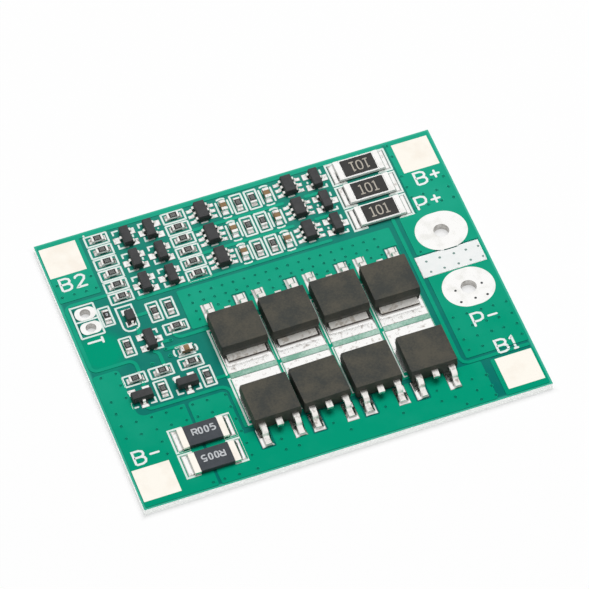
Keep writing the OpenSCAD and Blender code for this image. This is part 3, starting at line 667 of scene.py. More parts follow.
jointLook = {
    # land from, to and half width; foot from, to, side and half width; rise; reach;
    # how much painted shade darkens it beside the foot and along its edge, and a painted reflection of the board
    # in a spot
    "chipJoint": ((0.42, 1.2, 0.46), (0.5, 0.8, 0, 0.4), 0.3, 0.42, (0.7, 0.7, 0.55)),
    "capacitorJoint": ((0.42, 1.19, 0.45), (0.5, 0.8, 0, 0.4), 0.4, 0.42, (0.35, 0.4, 0)),
    "icJoint": ((0.05, 1.1, 0.27), (0.2, 0.56, 0, 0.2), 0.09, 0.3, (0.4, 0.4, 0)),
    "leadJoint": ((-0.02, 0.98, 0.5), (0.2, 0.56, 0, 0.2), 0.1, 0.3, (0.2, 0.3, 0)),
    "diodeJoint": ((-0.32, 0.62, 0.67), (0.12, 0.42, 0, 0.17), 0.09, 0.3, (0.4, 0.4, 0)),
    "resistorJoint": ((2.37, 3.93, 1.63), (2.5, 3.15, 0, 1.5), 0.42, 0.42, (0.8, 1.0, 0)),
    "mosfetLead": ((-0.15, 2.85, 0.82), (1.55, 2.7, 0, 0.38), 0.34, 0.5, (0.8, 0.6, 0)),
    "mosfetTab": ((-0.3, 2.82, 3.24), (-1, 1.0, 0, 2.65), 0.16, 0.4, (1.0, 0.3, 0)),
    "coat": 0.02,                # mm of solder on the rest of the land
    "edge": 0.09,                # mm over which it rises at the land's edge
    "skirt": -0.02,              # mm, its closed underside, in the land
    "besideFoot": (0.85, 0.35),  # nearness to the foot at which that painted shade is deepest, and its spread
    "spot": (0.68, 0.17),        # of the painted reflection: share of the land's length, and size in mm
    "waves": (0.22, 0.07),       # mm: size and height of the ruffles
    "sizes": ((0.96, 0.96, 0.8), (1.0, 1.0, 1.15)),
}
# Joints of parts that settled: kind, cells, then how far out and aside of the part in mm, and turn
leadLook = {
    "transistor": [("leadJoint", (10, 10), lead) for lead in (
        (-0.65, 0, 180), (0.65, -0.95, 0), (0.65, 0.95, 0))],
    "diode": [("diodeJoint", (10, 12), (0.85, 0, 0))],
    "largeResistor": [("resistorJoint", (16, 30), (0, 0, 0))],
    "mosfet": [("mosfetLead", (20, 14), (-2.285, -3.05, -90)), ("mosfetLead", (20, 14), (2.285, -3.05, -90)),
               ("mosfetTab", (26, 40), (0, 3.05, 90))],
}


def gridRing(columns, lines):
    # A grid's outer corners, once round
    ring = [(i, 0) for i in range(columns)] + [(columns, j) for j in range(lines)]
    return ring + [(i, lines) for i in range(columns, 0, -1)] + [(0, j) for j in range(lines, 0, -1)]


def sheet(form, grid):
    # Faces over a grid of corners
    for here, after in zip(grid, grid[1:]):
        for corners in zip(here, after, after[1:], here[1:]):
            form.faces.new(corners)


def band(form, lower, upper):
    # Faces between two closed loops of corners
    for corners in zip(lower, lower[1:] + lower[:1], upper[1:] + upper[:1], upper):
        form.faces.new(corners)


def mound(form, place, kind, foot=None, cells=(10, 9)):
    # Solder over a land, drawn up to a foot, which may lie off its usual place, with painted shade and a painted
    # reflection
    (x0, x1, wide), usual, rise, reach, (besideFoot, alongEdge, paintedReflection) = jointLook[kind]
    start, end, side, half = foot or usual
    spine = (start + end) / 2
    rim = jointLook["edge"]
    crest, spread = jointLook["besideFoot"]
    spotShare, spotSize = jointLook["spot"]
    columns, lines = cells
    climb = form.verts.layers.float.get("climb") or form.verts.layers.float.new("climb")

    def line(k, count, low, high):
        # Even lines, with one close to each edge
        if k in (0, count):
            return high if k else low
        return low + 0.7 * rim + (high - low - 1.4 * rim) * (k - 1) / (count - 2)

    def vert(i, j, base=None):
        x = line(i, columns, x0, x1)
        y = line(j, lines, -wide, wide)
        away = math.hypot(max(abs(x - spine) - (end - start) / 2, 0), max(abs(y - side) - half, 0))
        near = 1 - min(away / reach, 1)
        inside = max(min(x1 - x, x - x0, wide - abs(y)), 0)
        rounded = min(inside / rim, 1) ** 0.5
        z = (jointLook["coat"] + rise * near ** 2) * rounded if base is None else base
        corner = form.verts.new(place @ Vector((x * mm, y * mm, z * mm)))
        spot = math.hypot(x - x0 - spotShare * (x1 - x0), y) / spotSize
        # Painted shade beside the foot and along the edge, and a painted reflection of the board
        corner[climb] = max(besideFoot * max(1 - abs(near - crest) / spread, 0), paintedReflection * max(1.2 - spot, 0),
                            alongEdge * max(1 - inside / (1.2 * rim), 0))
        return corner

    grid = [[vert(i, j) for j in range(lines + 1)] for i in range(columns + 1)]
    sheet(form, grid)
    ring = gridRing(columns, lines)
    skirt = [vert(i, j, jointLook["skirt"]) for i, j in ring]
    band(form, skirt, [grid[i][j] for i, j in ring])
    form.faces.new(skirt[::-1])


def meshOf(name, form, smooth=True):
    for face in form.faces:
        face.smooth = smooth
    mesh = bpy.data.meshes.new(name)
    form.to_mesh(mesh)
    form.free()
    return mesh


def solderJoints(tree, name, kind, places, finish):
    # places: x, y, turn in degrees, and a shift in mm along and across after that turn
    form = bmesh.new()
    mound(form, Matrix.Identity(4), kind)
    shape = addPiece(kind + "Shape", meshOf(kind, form))
    points = []
    for x, y, turn, shift in places:
        moved = Matrix.Rotation(math.radians(turn), 3, "Z") @ Vector((shift[0] * mm, shift[1] * mm, 0))
        points.append((onBoard(x, y, landTop) + moved, (0, 0, turn)))
    piece = pointCloud(name, points)
    size, height = jointLook["waves"]
    least, most = jointLook["sizes"]
    grow(piece, tree, {
        "Shape": shape, "Least Size": least, "Most Size": most, "Wave Size": 1 / (size * mm),
        "Wave Height": height * mm, "Wave Start": landTop, "Seed": 3, "Material": finishes[finish]})
    bpy.data.objects.remove(shape)
    settle(piece, "tinned_land")


def standing(x, y, turn, out, side, extra):
    # Where a lead or end leaves its part: the part's place and turn, then out and aside in mm
    return (Matrix.Translation(onBoard(x, y, landTop)) @ Matrix.Rotation(math.radians(turn), 4, "Z")
            @ Matrix.Translation((out * mm, side * mm, 0)) @ Matrix.Rotation(math.radians(extra), 4, "Z"))


def drawnSolder(part, spots):
    # Mounds drawn up to leads that settled off the middle of their lands.
    # spots: the lands' middle and turn, then how far the part moved and turned from there
    form = bmesh.new()
    for x, y, turn, dx, dy, extra in spots:
        for kind, cells, lead in leadLook[part]:
            land, real = standing(x, y, turn, *lead), standing(x + dx, y + dy, turn + extra, *lead)
            start, end, side, wide = jointLook[kind][1]
            foot = land.inverted() @ real @ Vector(((start + end) / 2 * mm, side * mm, 0)) / mm
            half = (end - start) / 2
            mound(form, land, kind, (foot.x - half, foot.x + half, foot.y, wide), cells)
    mesh = meshOf(part + "Solder", form)
    mesh.materials.append(finishes["reflowed solder"])
    settle(addPiece(part + "Solder", mesh), "tinned_land")


def bothEnds(parts):
    return [(x, y, turn + extra, (0, 0)) for x, y, turn in parts for extra in (0, 180)]


copies = copiesTree()
solderJoints(copies, "chipResistorSolder", "chipJoint", bothEnds(chipResistors), "flecked solder")
solderJoints(copies, "chipCapacitorSolder", "capacitorJoint", bothEnds(chipCapacitors), "reflowed solder")
icLeads = [(x, y, turn, (0.8, i * 0.95)) for x, y in chips for turn in (0, 180) for i in (-1, 0, 1)]
solderJoints(copies, "protectionIcSolder", "icJoint", icLeads, "reflowed solder")
drawnSolder("transistor", [
    (*place, *drift, 0) for place, drift in zip(transistors, drifts["transistors"])])
drawnSolder("diode", [(*partPlaces["diode"], turn, *drifts["diode"], 0) for turn in (90, 270)])
large = [(partPlaces["balanceX"], y, 0, 0) for y in rows]
large += [(*place, *drift) for place, drift in zip(partPlaces["shunts"], drifts["shunts"])]
drawnSolder("largeResistor", [(x, y, turn, dx, dy, 0) for x, y, dx, dy in large for turn in (0, 180)])
drawnSolder("mosfet", [
    (x, y, turn, *drift) for (y, turn), row in zip(partPlaces["mosfetRows"], drifts["mosfets"])
    for x, drift in zip(partPlaces["mosfetColumns"], row)])
print("solder joints run")


# Vias

viaLook = {
    "hole": 0.4, "bead": 0.6,   # mm: sunk mask, and the swelling of its land
    "beadHeight": 0.003,        # mm
    "openHole": (0.36, 0.008),  # mm: one that isn't masked, and the height of its rim
    "pit": (0.55, 0.75),        # shares of the hole and of the bead's height in a masked one's middle
    "openPit": 0.6,             # share of the hole in an open one's
    # A bead from outside in: share of the bead's width past the hole, share of the hole, mm, share of the height
    "section": ((1, 1, -0.01, 0), (1, 1, 0.001, 0), (0.42, 1, 0, 1), (0, 1, 0, 0.7), (0, 0.55, 0, 0.25)),
    "sides": 12,
    "sizes": ((0.92, 0.92, 1), (1.06, 1.06, 1)),
}
viaPlaces = {
    "backPour": [(16.65 + 1.53 * i, y) for i in range(18) for y in (30.15, 28.75, 27.35)] + [(16.65, 25.9)],
    "outputPours": [(x, y) for x in (47.75, 49.65, 51.65, 53.35, 55.2)
                    for y in (20.3, 18.35, 16.35, 14.4, 12.4, 10.6, 8.8)],
    "upperRight": [(x, y) for x in (49.8, 51.45, 53.35, 55.05) for y in (44.2, 42.3, 38.7, 36.75, 34.9, 33.0)]
    + [(47.8, 31.2), (47.8, 29.4), (47.8, 27.8), (47.65, 26.0), (55.2, 31.2), (55.2, 27.6), (55.2, 26.0)],
    "leftBack": [(0.85, 37.65), (5.55, 37.65), (0.9, 35.6), (2.55, 35.6), (4.2, 35.55), (5.6, 35.6)],
    "leftPour": [(x, y) for x in (1.45, 3.5, 5.6, 7.6, 9.65, 11.2, 13.2, 15.7)
                 for y in (13.35, 11.3, 9.25, 7.2, 5.2, 3.2, 0.95)]
    + [(1.45, 21.5), (3.5, 21.5), (3.5, 19.5), (1.45, 17.4), (3.5, 17.4), (1.45, 15.4)],
    "frontPour": [(x, 4.2) for x in (20.1, 27.2, 34.4, 41.5)]
    + [(x, 2.45) for x in (20.1, 21.9, 29.0, 36.2, 41.5, 43.4, 46.4)]
    + [(46.4, 4.3), (48.4, 4.3), (48.4, 2.45), (44.4, 0.9), (46.4, 0.9), (48.4, 0.9)],
    "control": [(11.95, 24.12), (10.9, 22.95), (11.1, 21.75), (8.45, 21.3)],
    "strip": [(x, y) for x in (47.75, 49.65, 51.65, 53.35, 55.1) for y in (24.2, 22.4)],
    "minusLand": [(49.6, 18.35), (53.3, 18.35), (49.65, 16.35), (51.65, 16.35), (53.35, 16.35)],
}
# Boxes where no masked via shows: lands, large parts and print
viaClear = [
    (-1, 0.7, 5.9, 6.7), (6.3, 2.2, 15.6, 11.0), (0.2, 38.6, 5.8, 45), (49.9, 38.6, 56, 45),
    (50.0, 0.7, 56, 6.8), (47.7, 14.9, 55.35, 22.0), (47.7, 24.9, 55.35, 31.9), (0.9, 6.6, 5.1, 9.4),
    (6.5, 0.3, 9.2, 2.3),
]


def viaShape(name, hole, bead, height):
    # A low bead round a sunk middle, turned about its axis and closed below
    sides = viaLook["sides"]
    rings = [(past * (bead - hole) / 2 + within * hole / 2, base + share * height)
             for past, within, base, share in viaLook["section"]]
    form = bmesh.new()
    around = [(math.cos(math.tau * k / sides), math.sin(math.tau * k / sides)) for k in range(sides)]
    loops = [[form.verts.new((r * mm * x, r * mm * y, z * mm)) for x, y in around] for r, z in rings]
    for lower, upper in zip(loops, loops[1:]):
        band(form, lower, upper)
    form.faces.new(loops[-1])
    form.faces.new(loops[0][::-1])
    return addPiece(name, meshOf(name, form))


def drillVias(tree):
    masked = [p for group, places in viaPlaces.items() if group not in ("strip", "minusLand") for p in places
              if not any(a < p[0] < c and b < p[1] < d for a, b, c, d in viaClear)]
    through = masked + viaPlaces["strip"] + viaPlaces["minusLand"]
    least, most = viaLook["sizes"]
    fixed = {"Least Size": least, "Most Size": most, "Wave Size": 1.0, "Wave Height": 0.0,
             "Wave Start": 0.0, "Seed": 7}
    hole, bead, height = viaLook["hole"], viaLook["bead"], viaLook["beadHeight"]
    pitWidth, pitHeight = viaLook["pit"]
    openHole, openRim = viaLook["openHole"]
    ring = viaShape("viaRing", hole, bead, height)
    pit = viaShape("viaPit", pitWidth * hole, hole, pitHeight * height)
    openPit = viaShape("openPit", viaLook["openPit"] * openHole, openHole, openRim)
    above = [(onBoard(x, y), (0, 0, 0)) for x, y in masked]
    below = [(onBoard(x, y, 0), (180, 0, 0)) for x, y in through]
    opened, inked = ([(onBoard(x, y, z), (0, 0, 0)) for x, y in viaPlaces[group]] for group, z in (
        ("minusLand", landTop), ("strip", maskTop + inkLook["thickness"] * mm)))
    for name, places, shape, finish, slot in (
            ("viasTopRings", above, ring, "solder mask over copper", "masked_copper"),
            ("viasTopPits", above, pit, "mask in a via", "masked_copper"),
            ("viasUnderRings", below, ring, "solder mask over copper", "masked_copper"),
            ("viasUnderPits", below, pit, "mask in a via", "masked_copper"),
            ("openVias", opened, openPit, "open via", "tinned_land"),
            ("inkedVias", inked, openPit, "inked via", "tinned_land")):
        piece = pointCloud(name, places)
        grow(piece, tree, {**fixed, "Shape": shape, "Material": finishes[finish]})
        settle(piece, slot)
    for shape in (ring, pit, openPit):
        bpy.data.objects.remove(shape)


# Print

inkLook = {
    "thickness": 0.015,             # mm, of the white legend
    "sunk": -0.01,                  # mm, its underside, in what it lies on
    "step": (0.0006, 8),            # mm that a stroke lies above the one before, and strokes till it starts again
    "drop": 0.01,                   # metres above the board, where it is let down from
    "line": 0.26,                   # mm, width of a frame's line
    "thinLine": 0.17,               # mm, between the power transistors
    "starvedLine": 0.2,             # mm, beside them, where little ink came through
    "letter": 0.32,                 # mm, width of a large letter's stroke
    "spacing": 0.12,                # mm between the steps along a stroke
    "fineSpacing": 0.08,            # mm, along a value code's
    "capSteps": (0.15, 0.45, 0.9),  # half widths from a stroke's end, where its round cap has steps
    "mitre": 1.5,                   # most that a corner is widened
    "figure": 0.56,                 # width of a figure for its height
    "strip": (46.45, 21.7, 55.42, 25.27),  # mm: box of the plain white strip
}


def ovalZero(half):
    # A narrow nought with nearly straight sides
    turns = [math.tau * k / 20 for k in range(21)]
    return [(0.28 + half * math.copysign(abs(math.sin(a)) ** 0.7, math.sin(a)),
             0.5 + 0.5 * math.copysign(abs(math.cos(a)) ** 0.8, math.cos(a))) for a in turns]


glyphs = {
    "B": [[(0, 0), (0, 1), (0.44, 1), (0.64, 0.9), (0.68, 0.74), (0.62, 0.6), (0.44, 0.53), (0, 0.53)],
          [(0.44, 0.53), (0.66, 0.44), (0.71, 0.27), (0.64, 0.09), (0.44, 0), (0, 0)]],
    "P": [[(0, 0), (0, 1), (0.42, 1), (0.63, 0.9), (0.69, 0.7), (0.63, 0.48), (0.42, 0.38), (0, 0.38)]],
    "R": [[(0, 0), (0, 1), (0.45, 1), (0.64, 0.9), (0.68, 0.73), (0.62, 0.56), (0.45, 0.48), (0, 0.48)],
          [(0.35, 0.48), (0.7, 0)]],
    "T": [[(0, 1), (0.52, 1)], [(0.26, 1), (0.26, 0)]],
    "1": [[(0.1, 0.8), (0.3, 1), (0.3, 0)], [(0.12, 0), (0.48, 0)]],
    "2": [[(0.02, 0.76), (0.1, 0.93), (0.32, 1), (0.54, 0.96), (0.68, 0.8), (0.62, 0.58), (0, 0), (0.74, 0)]],
    "5": [[(0.6, 1), (0.1, 1), (0.06, 0.58), (0.35, 0.62), (0.6, 0.5), (0.66, 0.3), (0.56, 0.08), (0.3, 0),
           (0.02, 0.06)]],
    "0": [ovalZero(0.24)],
    "i": [[(0.09, 0.9), (0.28, 1), (0.28, 0)], [(0.06, 0), (0.5, 0)]],  # a narrow figure one
    "+": [[(0.1, 0.52), (0.78, 0.52)], [(0.44, 0.18), (0.44, 0.86)]],
    "-": [[(0.1, 0.52), (0.78, 0.52)]],
}


def word(text, x, y, height, stroke, advance=1.0, turn=0):
    # Strokes of a mark whose lower left corner is at x and y, turned about it
    strokes = []
    pen = 0
    cosine, sine = math.cos(math.radians(turn)), math.sin(math.radians(turn))
    for letter in text:
        for line in glyphs[letter]:
            flat = [((pen + u) * height, v * height) for u, v in line]
            strokes.append(([(x + a * cosine - b * sine, y + a * sine + b * cosine) for a, b in flat], stroke))
        pen += advance
    return strokes


def boxFrame(x, y, wide, tall):
    a, b, c = wide / 2, tall / 2, 0.05
    return [(x - a + c, y - b), (x + a - c, y - b), (x + a, y - b + c), (x + a, y + b - c),
            (x + a - c, y + b), (x - a + c, y + b), (x - a, y + b - c), (x - a, y - b + c), (x - a + c, y - b)]


# Middles of the printed lines, in mm
legendLook = {
    # Boxes round chips: middle, width, height
    "boxes": [(x, y, 3.05, 1.69) for x in (8.16, 18.95) for y in (43.12, 41.07, 39.06, 37.02, 35.03, 33.0)]
    + [(x, y, 1.55, 3.1) for x in (27.8, 29.85) for y in (42.17, 38.12, 34.07)]
    + [(5.33, 30.7, 1.42, 3.05), (11.47, 29.2, 1.5, 3.15), (13.55, 29.2, 1.55, 3.15),
       (6.35, 25.05, 1.55, 3.05), (13.3, 25.87, 3.15, 1.6), (13.25, 19.85, 3.05, 1.65),
       (5.52, 19.8, 3.0, 1.65), (9.15, 19.8, 3.05, 1.65),
       (8.37, 16.92, 1.6, 3.1), (14.55, 16.97, 1.55, 3.1), (2.75, 30.92, 3.15, 5.2)],
    # Pairs of lines round a capacitor: middle, half width, ends of the lines, reach of the end arcs, turn
    "capacitors": [(x, y, 0.83, 1.28, 1.68, 90) for x in (25.77, 31.86) for y in (42.1, 38.05, 34.0)]
    + [(13.23, 21.89, 0.77, 1.22, 1.56, 0)],
    "diode": [(6.81, 31.48), (8.97, 31.48), (8.97, 28.1), (8.8, 27.65), (8.4, 27.38), (8.0, 27.32),
              (7.7, 27.32), (7.3, 27.4), (6.97, 27.68), (6.81, 28.1), (6.81, 31.48)],
    "single": [
        [(6.72, 44.0), (6.72, 44.4)], [(1.2, 31.0), (4.3, 31.0)],
        [(10.25, 26.56), (10.73, 26.56), (10.73, 25.85)], [(9.4, 23.45), (10.7, 23.45), (10.7, 24.15)]],
}
# Lines of parts that come more than once: where each set goes, then its lines from there
legendSets = [
    ([(0, y) for y in rows], [
        [(11.92, -1.57), (10.59, -1.57), (10.59, -0.85)], [(10.48, 0.72), (10.48, 1.4), (11.3, 1.4)],
        [(15.55, -1.57), (14.23, -1.57), (14.23, -0.85)], [(14.12, 0.72), (14.12, 1.4), (14.85, 1.4)],
        [(12.93, -0.35), (12.93, 0.15)], [(16.47, -0.22), (16.47, 0.02)], [(37.65, -0.2), (37.65, 0.2)],
        [(38.65, -1.45), (39.95, -1.45), (39.95, -0.95)], [(39.88, 0.85), (39.88, 1.6)]]),
    ([(x, y) for x, y, turn in transistors[10:]], [
        [(-0.5, 1.44), (-1.4, 1.44), (-1.4, 1.1)], [(0.55, 1.44), (1.45, 1.44)],
        [(-0.8, -1.2), (-1.57, -1.2), (-1.57, -0.35)], [(0.8, -1.2), (1.57, -1.2), (1.57, -0.35)]]),
    ([(0, y) for y in rows], [
        [(44.9, 1.84), (40.76, 1.84), (40.76, -1.79), (42.7, -1.79)],
        [(44.9, 1.84), (49.1, 1.84), (49.1, -1.79), (47.1, -1.79)]]),
    ([(0, 0)], [
        [(inner, high), (x, high), (x, low), (inner, low)]
        for low, high in ((6.79, 10.46), (2.64, 6.36)) for x, inner in ((6.74, 8.65), (15.01, 13.2))]),
    (chips, [[(-0.6, -1.38), (0.42, -1.38)]]),
]
# At each column of power transistors, from its middle along X and from the front edge
mosfetPrint = {
    "frameSides": (-3.53, -3.42),  # mm, of the first column, and of the others
    "frames": [[(0.45, 23.7), (0, 23.7), (0, 16.1)], [(0.6, 15.45), (0, 15.45), (0, 7.75), (0.45, 7.75)]],
    "starved": [[(3.24, 16.1), (3.24, 19.5)], [(3.24, 15.4), (3.24, 12.5)]],
    "band": (-3.2, 15.42, 3.3, 16.2),
}
# Gaps in the mask beside the lands of the large resistors and of T, drawn dark as painted shade: width, places,
# lines
gapSets = [
    (0.11, [(0, y) for y in rows], [
        [(42.0, 1.7), (40.94, 1.7), (40.94, -1.62)], [(48.1, 1.7), (48.94, 1.7), (48.94, -1.62)]]),
    (0.12, [(0, 32.25), (0, 29.9)], [[(1.56, 0.95), (1.43, 0.6), (1.43, -0.6), (1.56, -0.95)]]),
]
# A dark line below the P+ land: a gap in the mask, darkened as painted shade beside the raised land
outputGap = {
    "width": 0.16, "below": 0.08,  # mm, before the lower edge of the P+ land
    "from": 49.3, "to": 53.9, "under": 26,
}
# Terminal marks: text, lower left corner, height and advance in mm, turn
markLook = [
    ("B2", 1.32, 36.5, 1.95, 1.04, 0), ("B+", 51.37, 36.5, 2.05, 0.9, 0), ("P+", 49.99, 32.5, 2.1, 0.85, 0),
    ("P-", 50.02, 11.97, 2.1, 0.85, 0), ("B1", 51.32, 6.95, 2.02, 0.87, 0), ("B-", 1.32, 6.87, 2.05, 0.92, 0),
    ("T", 1.6, 27.92, 2.1, 1.0, -90),
]
# Plain value codes: text, height, stroke and advance in mm, ink, the pieces it lies on,
# then each one's middle and turn
valueLook = {
    "balance": ("i0i", 1.52, 0.18, 0.98, "marking ink", [f"balanceResistor{i}" for i in (1, 2, 3)],
                [(45.05, 42.07, 180), (44.83, 38.06, 0), (44.88, 34.03, 0)]),
    "shunt": ("R005", 0.93, 0.2, 0.82, "white marking ink", ["shuntResistor1", "shuntResistor2"],
              [(11.04, 8.71, 0), (10.94, 4.43, 180)]),
    "chip": ("i0i", 0.42, 0.08, 0.25, "small marking ink", ["chipResistors"],
             [spot for spot in chipResistors if spot[0] != 5.34]),
    "link": ("0", 0.38, 0.1, 0.25, "white marking ink", ["chipResistors"], [(5.38, 30.62, 0)]),
}


def spread(spots, shapes):
    return [[(x + u, y + v) for u, v in line] for x, y in spots for line in shapes]


def legendStrokes():
    lines = [boxFrame(*box) for box in legendLook["boxes"]] + [legendLook["diode"]] + legendLook["single"]
    for x, y, half, straight, reach, turn in legendLook["capacitors"]:
        arc = [(0.76 * half * math.cos(math.radians(a)), reach - 0.28 * (1 - math.sin(math.radians(a))))
               for a in range(20, 161, 20)]
        for side in (-1, 1):
            for line in ([(side * half, -straight), (side * half, straight)], [(u, side * v) for u, v in arc]):
                lines.append([(x + u, y + v) if turn else (x + v, y + u) for u, v in line])
    for spots, shapes in legendSets:
        lines += spread(spots, shapes)
    strokes = [(line, inkLook["line"]) for line in lines]
    for i, x in enumerate(partPlaces["mosfetColumns"]):
        side = x + mosfetPrint["frameSides"][min(i, 1)]
        wide = inkLook["thinLine" if i else "line"]
        strokes += [(line, wide) for line in spread([(side, 0)], mosfetPrint["frames"])]
    return strokes


def gapStrokes():
    strokes = [(line, width) for width, spots, shapes in gapSets for line in spread(spots, shapes)]
    spots = sorted({(round((v.co.x - boardLow.x) / mm, 2),
                     round((v.co.y - boardLow.y) / mm, 2) - outputGap["below"])
                    for v in nodes["terminal_p_plus"].data.vertices})
    edge = [(x, y) for x, y in spots if outputGap["from"] < x < outputGap["to"] and y < outputGap["under"]]
    return strokes + [(edge, outputGap["width"])]


def inkTree():
    # Sweeps a low ribbon along each stroke, with round ends, and lays it on the relief below
    tree, given = startTree("draped ink", [("Relief", "Object"), ("Thickness", "Float"), ("Sunk", "Float")])
    curve = addNode(tree, "GeometryNodeMeshToCurve", {"Mesh": given["Geometry"]})
    upright = addNode(tree, "GeometryNodeSetCurveNormal", {"Curve": curve}, mode="Z_UP")
    half = addNode(tree, "GeometryNodeInputNamedAttribute", {"Name": "half"}, data_type="FLOAT")
    along = addNode(tree, "GeometryNodeSplineParameter").outputs["Length"]
    whole = addNode(tree, "GeometryNodeSplineLength")
    rest = addNode(tree, "ShaderNodeMath", {0: whole, 1: along}, operation="SUBTRACT")
    nearest = addNode(tree, "ShaderNodeMath", {0: along, 1: rest}, operation="MINIMUM")
    inward = addNode(tree, "ShaderNodeMath", {0: nearest, 1: half}, operation="DIVIDE")
    capped = addNode(tree, "ShaderNodeClamp", {"Value": inward, "Min": 0.05, "Max": 1.0})
    back = addNode(tree, "ShaderNodeMath", {0: 1.0, 1: capped}, operation="SUBTRACT")
    square = addNode(tree, "ShaderNodeMath", {0: back, 1: 2.0}, operation="POWER")
    left = addNode(tree, "ShaderNodeMath", {0: 1.0, 1: square}, operation="SUBTRACT")
    cap = addNode(tree, "ShaderNodeMath", {0: left}, operation="SQRT")
    loop = addNode(tree, "GeometryNodeInputSplineCyclic")
    closed = addNode(tree, "ShaderNodeMath", {0: cap, 1: loop}, operation="MAXIMUM")
    wide = addNode(tree, "ShaderNodeMath", {0: closed, 1: half}, operation="MULTIPLY")
    section = addNode(tree, "GeometryNodeCurvePrimitiveQuadrilateral", {
        "Height": 1.0, "Bottom Width": 2.0, "Top Width": 2.0, "Offset": 0.0}, mode="TRAPEZOID")
    ribbon = addNode(tree, "GeometryNodeCurveToMesh", {
        "Curve": upright, "Profile Curve": section, "Scale": wide, "Fill Caps": True})
    relief = addNode(tree, "GeometryNodeObjectInfo", {"Object": given["Relief"]})
    axes = addNode(tree, "ShaderNodeSeparateXYZ", {"Vector": addNode(tree, "GeometryNodeInputPosition")})
    above = addNode(tree, "ShaderNodeCombineXYZ", {
        "X": axes.outputs["X"], "Y": axes.outputs["Y"], "Z": inkLook["drop"]})
    fall = addNode(tree, "GeometryNodeRaycast", {
        "Target Geometry": relief.outputs["Geometry"], "Source Position": above,
        "Ray Direction": (0, 0, -1), "Ray Length": 2 * inkLook["drop"]})
    upper = addNode(tree, "ShaderNodeMath", {0: axes.outputs["Z"], 1: 0.0}, operation="GREATER_THAN")
    layer = addNode(tree, "GeometryNodeInputNamedAttribute", {"Name": "layer"}, data_type="FLOAT")
    top = addNode(tree, "ShaderNodeMath", {0: given["Thickness"], 1: layer}, operation="ADD")
    level = addNode(tree, "ShaderNodeMix", {"Factor": upper, "A": given["Sunk"], "B": top}, data_type="FLOAT")
    lift = addNode(tree, "ShaderNodeCombineXYZ", {"Z": level})
    lay = addNode(tree, "ShaderNodeVectorMath", {0: fall.outputs["Hit Position"], 1: lift}, operation="ADD")
    laid = addNode(tree, "GeometryNodeSetPosition", {"Geometry": ribbon, "Position": lay})
    flat = addNode(tree, "GeometryNodeSetShadeSmooth", {"Geometry": laid, "Shade Smooth": False})
    real = addNode(tree, "GeometryNodeRealizeInstances", {"Geometry": flat})
    return endTree(tree, real, given["Material"])


def steps(line, spacing, half):
    # Places along a stroke, closer near its ends, with a mitre's extra width at each corner
    loop = line[0] == line[-1]
    corners = line[:-1] if loop else line
    caps = [half * share for share in inkLook["capSteps"]]
    places, scales = [], []
    for k, here in enumerate(corners):
        before = corners[k - 1] if k or loop else None
        after = corners[(k + 1) % len(corners)] if k + 1 < len(corners) or loop else None
        mitre = 1.0
        if before and after:
            turn = (math.atan2(after[1] - here[1], after[0] - here[0])
                    - math.atan2(here[1] - before[1], here[0] - before[0]))
            mitre = min(1 / max(abs(math.cos(turn / 2)), 0.2), inkLook["mitre"])
        places.append(here)
        scales.append(mitre)
        if after is None:
            break
        length = math.dist(here, after)
        marks = [spacing * i for i in range(1, int(length / spacing))]
        if before is None:
            marks = [m for m in caps if m < length / 2] + [m for m in marks if m > half]
        if not loop and k + 2 == len(corners):
            marks = [m for m in marks if m < length - half] + [
                length - m for m in reversed(caps) if m < length / 2]
        for mark in marks:
            t = mark / length
            places.append((here[0] + (after[0] - here[0]) * t, here[1] + (after[1] - here[1]) * t))
            scales.append(1.0)
    return places, scales, loop


def printInk(tree, name, strokes, relief, ink, spacing, slot=None):
    verts, edges, halves, layers = [], [], [], []
    step, levels = inkLook["step"]
    for number, (line, width) in enumerate(strokes):
        first = len(verts)
        places, scales, loop = steps(line, spacing, width / 2)
        verts += [onBoard(x, y, 0) for x, y in places]
        edges += [(first + k, first + k + 1) for k in range(len(places) - 1)]
        if loop:
            edges.append((first + len(places) - 1, first))
        halves += [width / 2 * mm * scale for scale in scales]
        layers += [number % levels * step * mm] * len(places)
    mesh = bpy.data.meshes.new(name)
    mesh.from_pydata(verts, edges, [])
    mesh.attributes.new("half", "FLOAT", "POINT").data.foreach_set("value", halves)
    mesh.attributes.new("layer", "FLOAT", "POINT").data.foreach_set("value", layers)
    piece = addPiece(name, mesh)
    grow(piece, tree, {
        "Relief": relief, "Thickness": inkLook["thickness"] * mm, "Sunk": inkLook["sunk"] * mm,
        "Material": finishes[ink]})
    settle(piece, slot)


def joined(name, pieces):
    # One throwaway mesh of several pieces, for strokes to lie on
    form = bmesh.new()
    for piece in pieces:
        form.from_mesh(piece.data)
    return addPiece(name, meshOf(name, form))


def printSheet(name, relief, box, cells, ink):
    # A flat sheet of ink laid on the copper
    x0, y0, x1, y1 = box
    columns, lines = cells
    form = bmesh.new()
    upper, lower = [], []
    for i in range(columns + 1):
        upper.append([])
        lower.append([])
        for j in range(lines + 1):
            spot = onBoard(x0 + (x1 - x0) * i / columns, y0 + (y1 - y0) * j / lines, inkLook["drop"])
            hit = relief.ray_cast(spot, Vector((0, 0, -1)))[1]
            level = max(hit.z, maskTop) + inkLook["thickness"] * mm
            upper[-1].append(form.verts.new((hit.x, hit.y, level)))
            lower[-1].append(form.verts.new((hit.x, hit.y, hit.z + inkLook["sunk"] * mm)))
    sheet(form, upper)
    sheet(form, lower[::-1])
    band(form, *([grid[i][j] for i, j in gridRing(columns, lines)] for grid in (lower, upper)))
    mesh = meshOf(name, form)
    mesh.materials.append(finishes[ink])
    settle(addPiece(name, mesh))


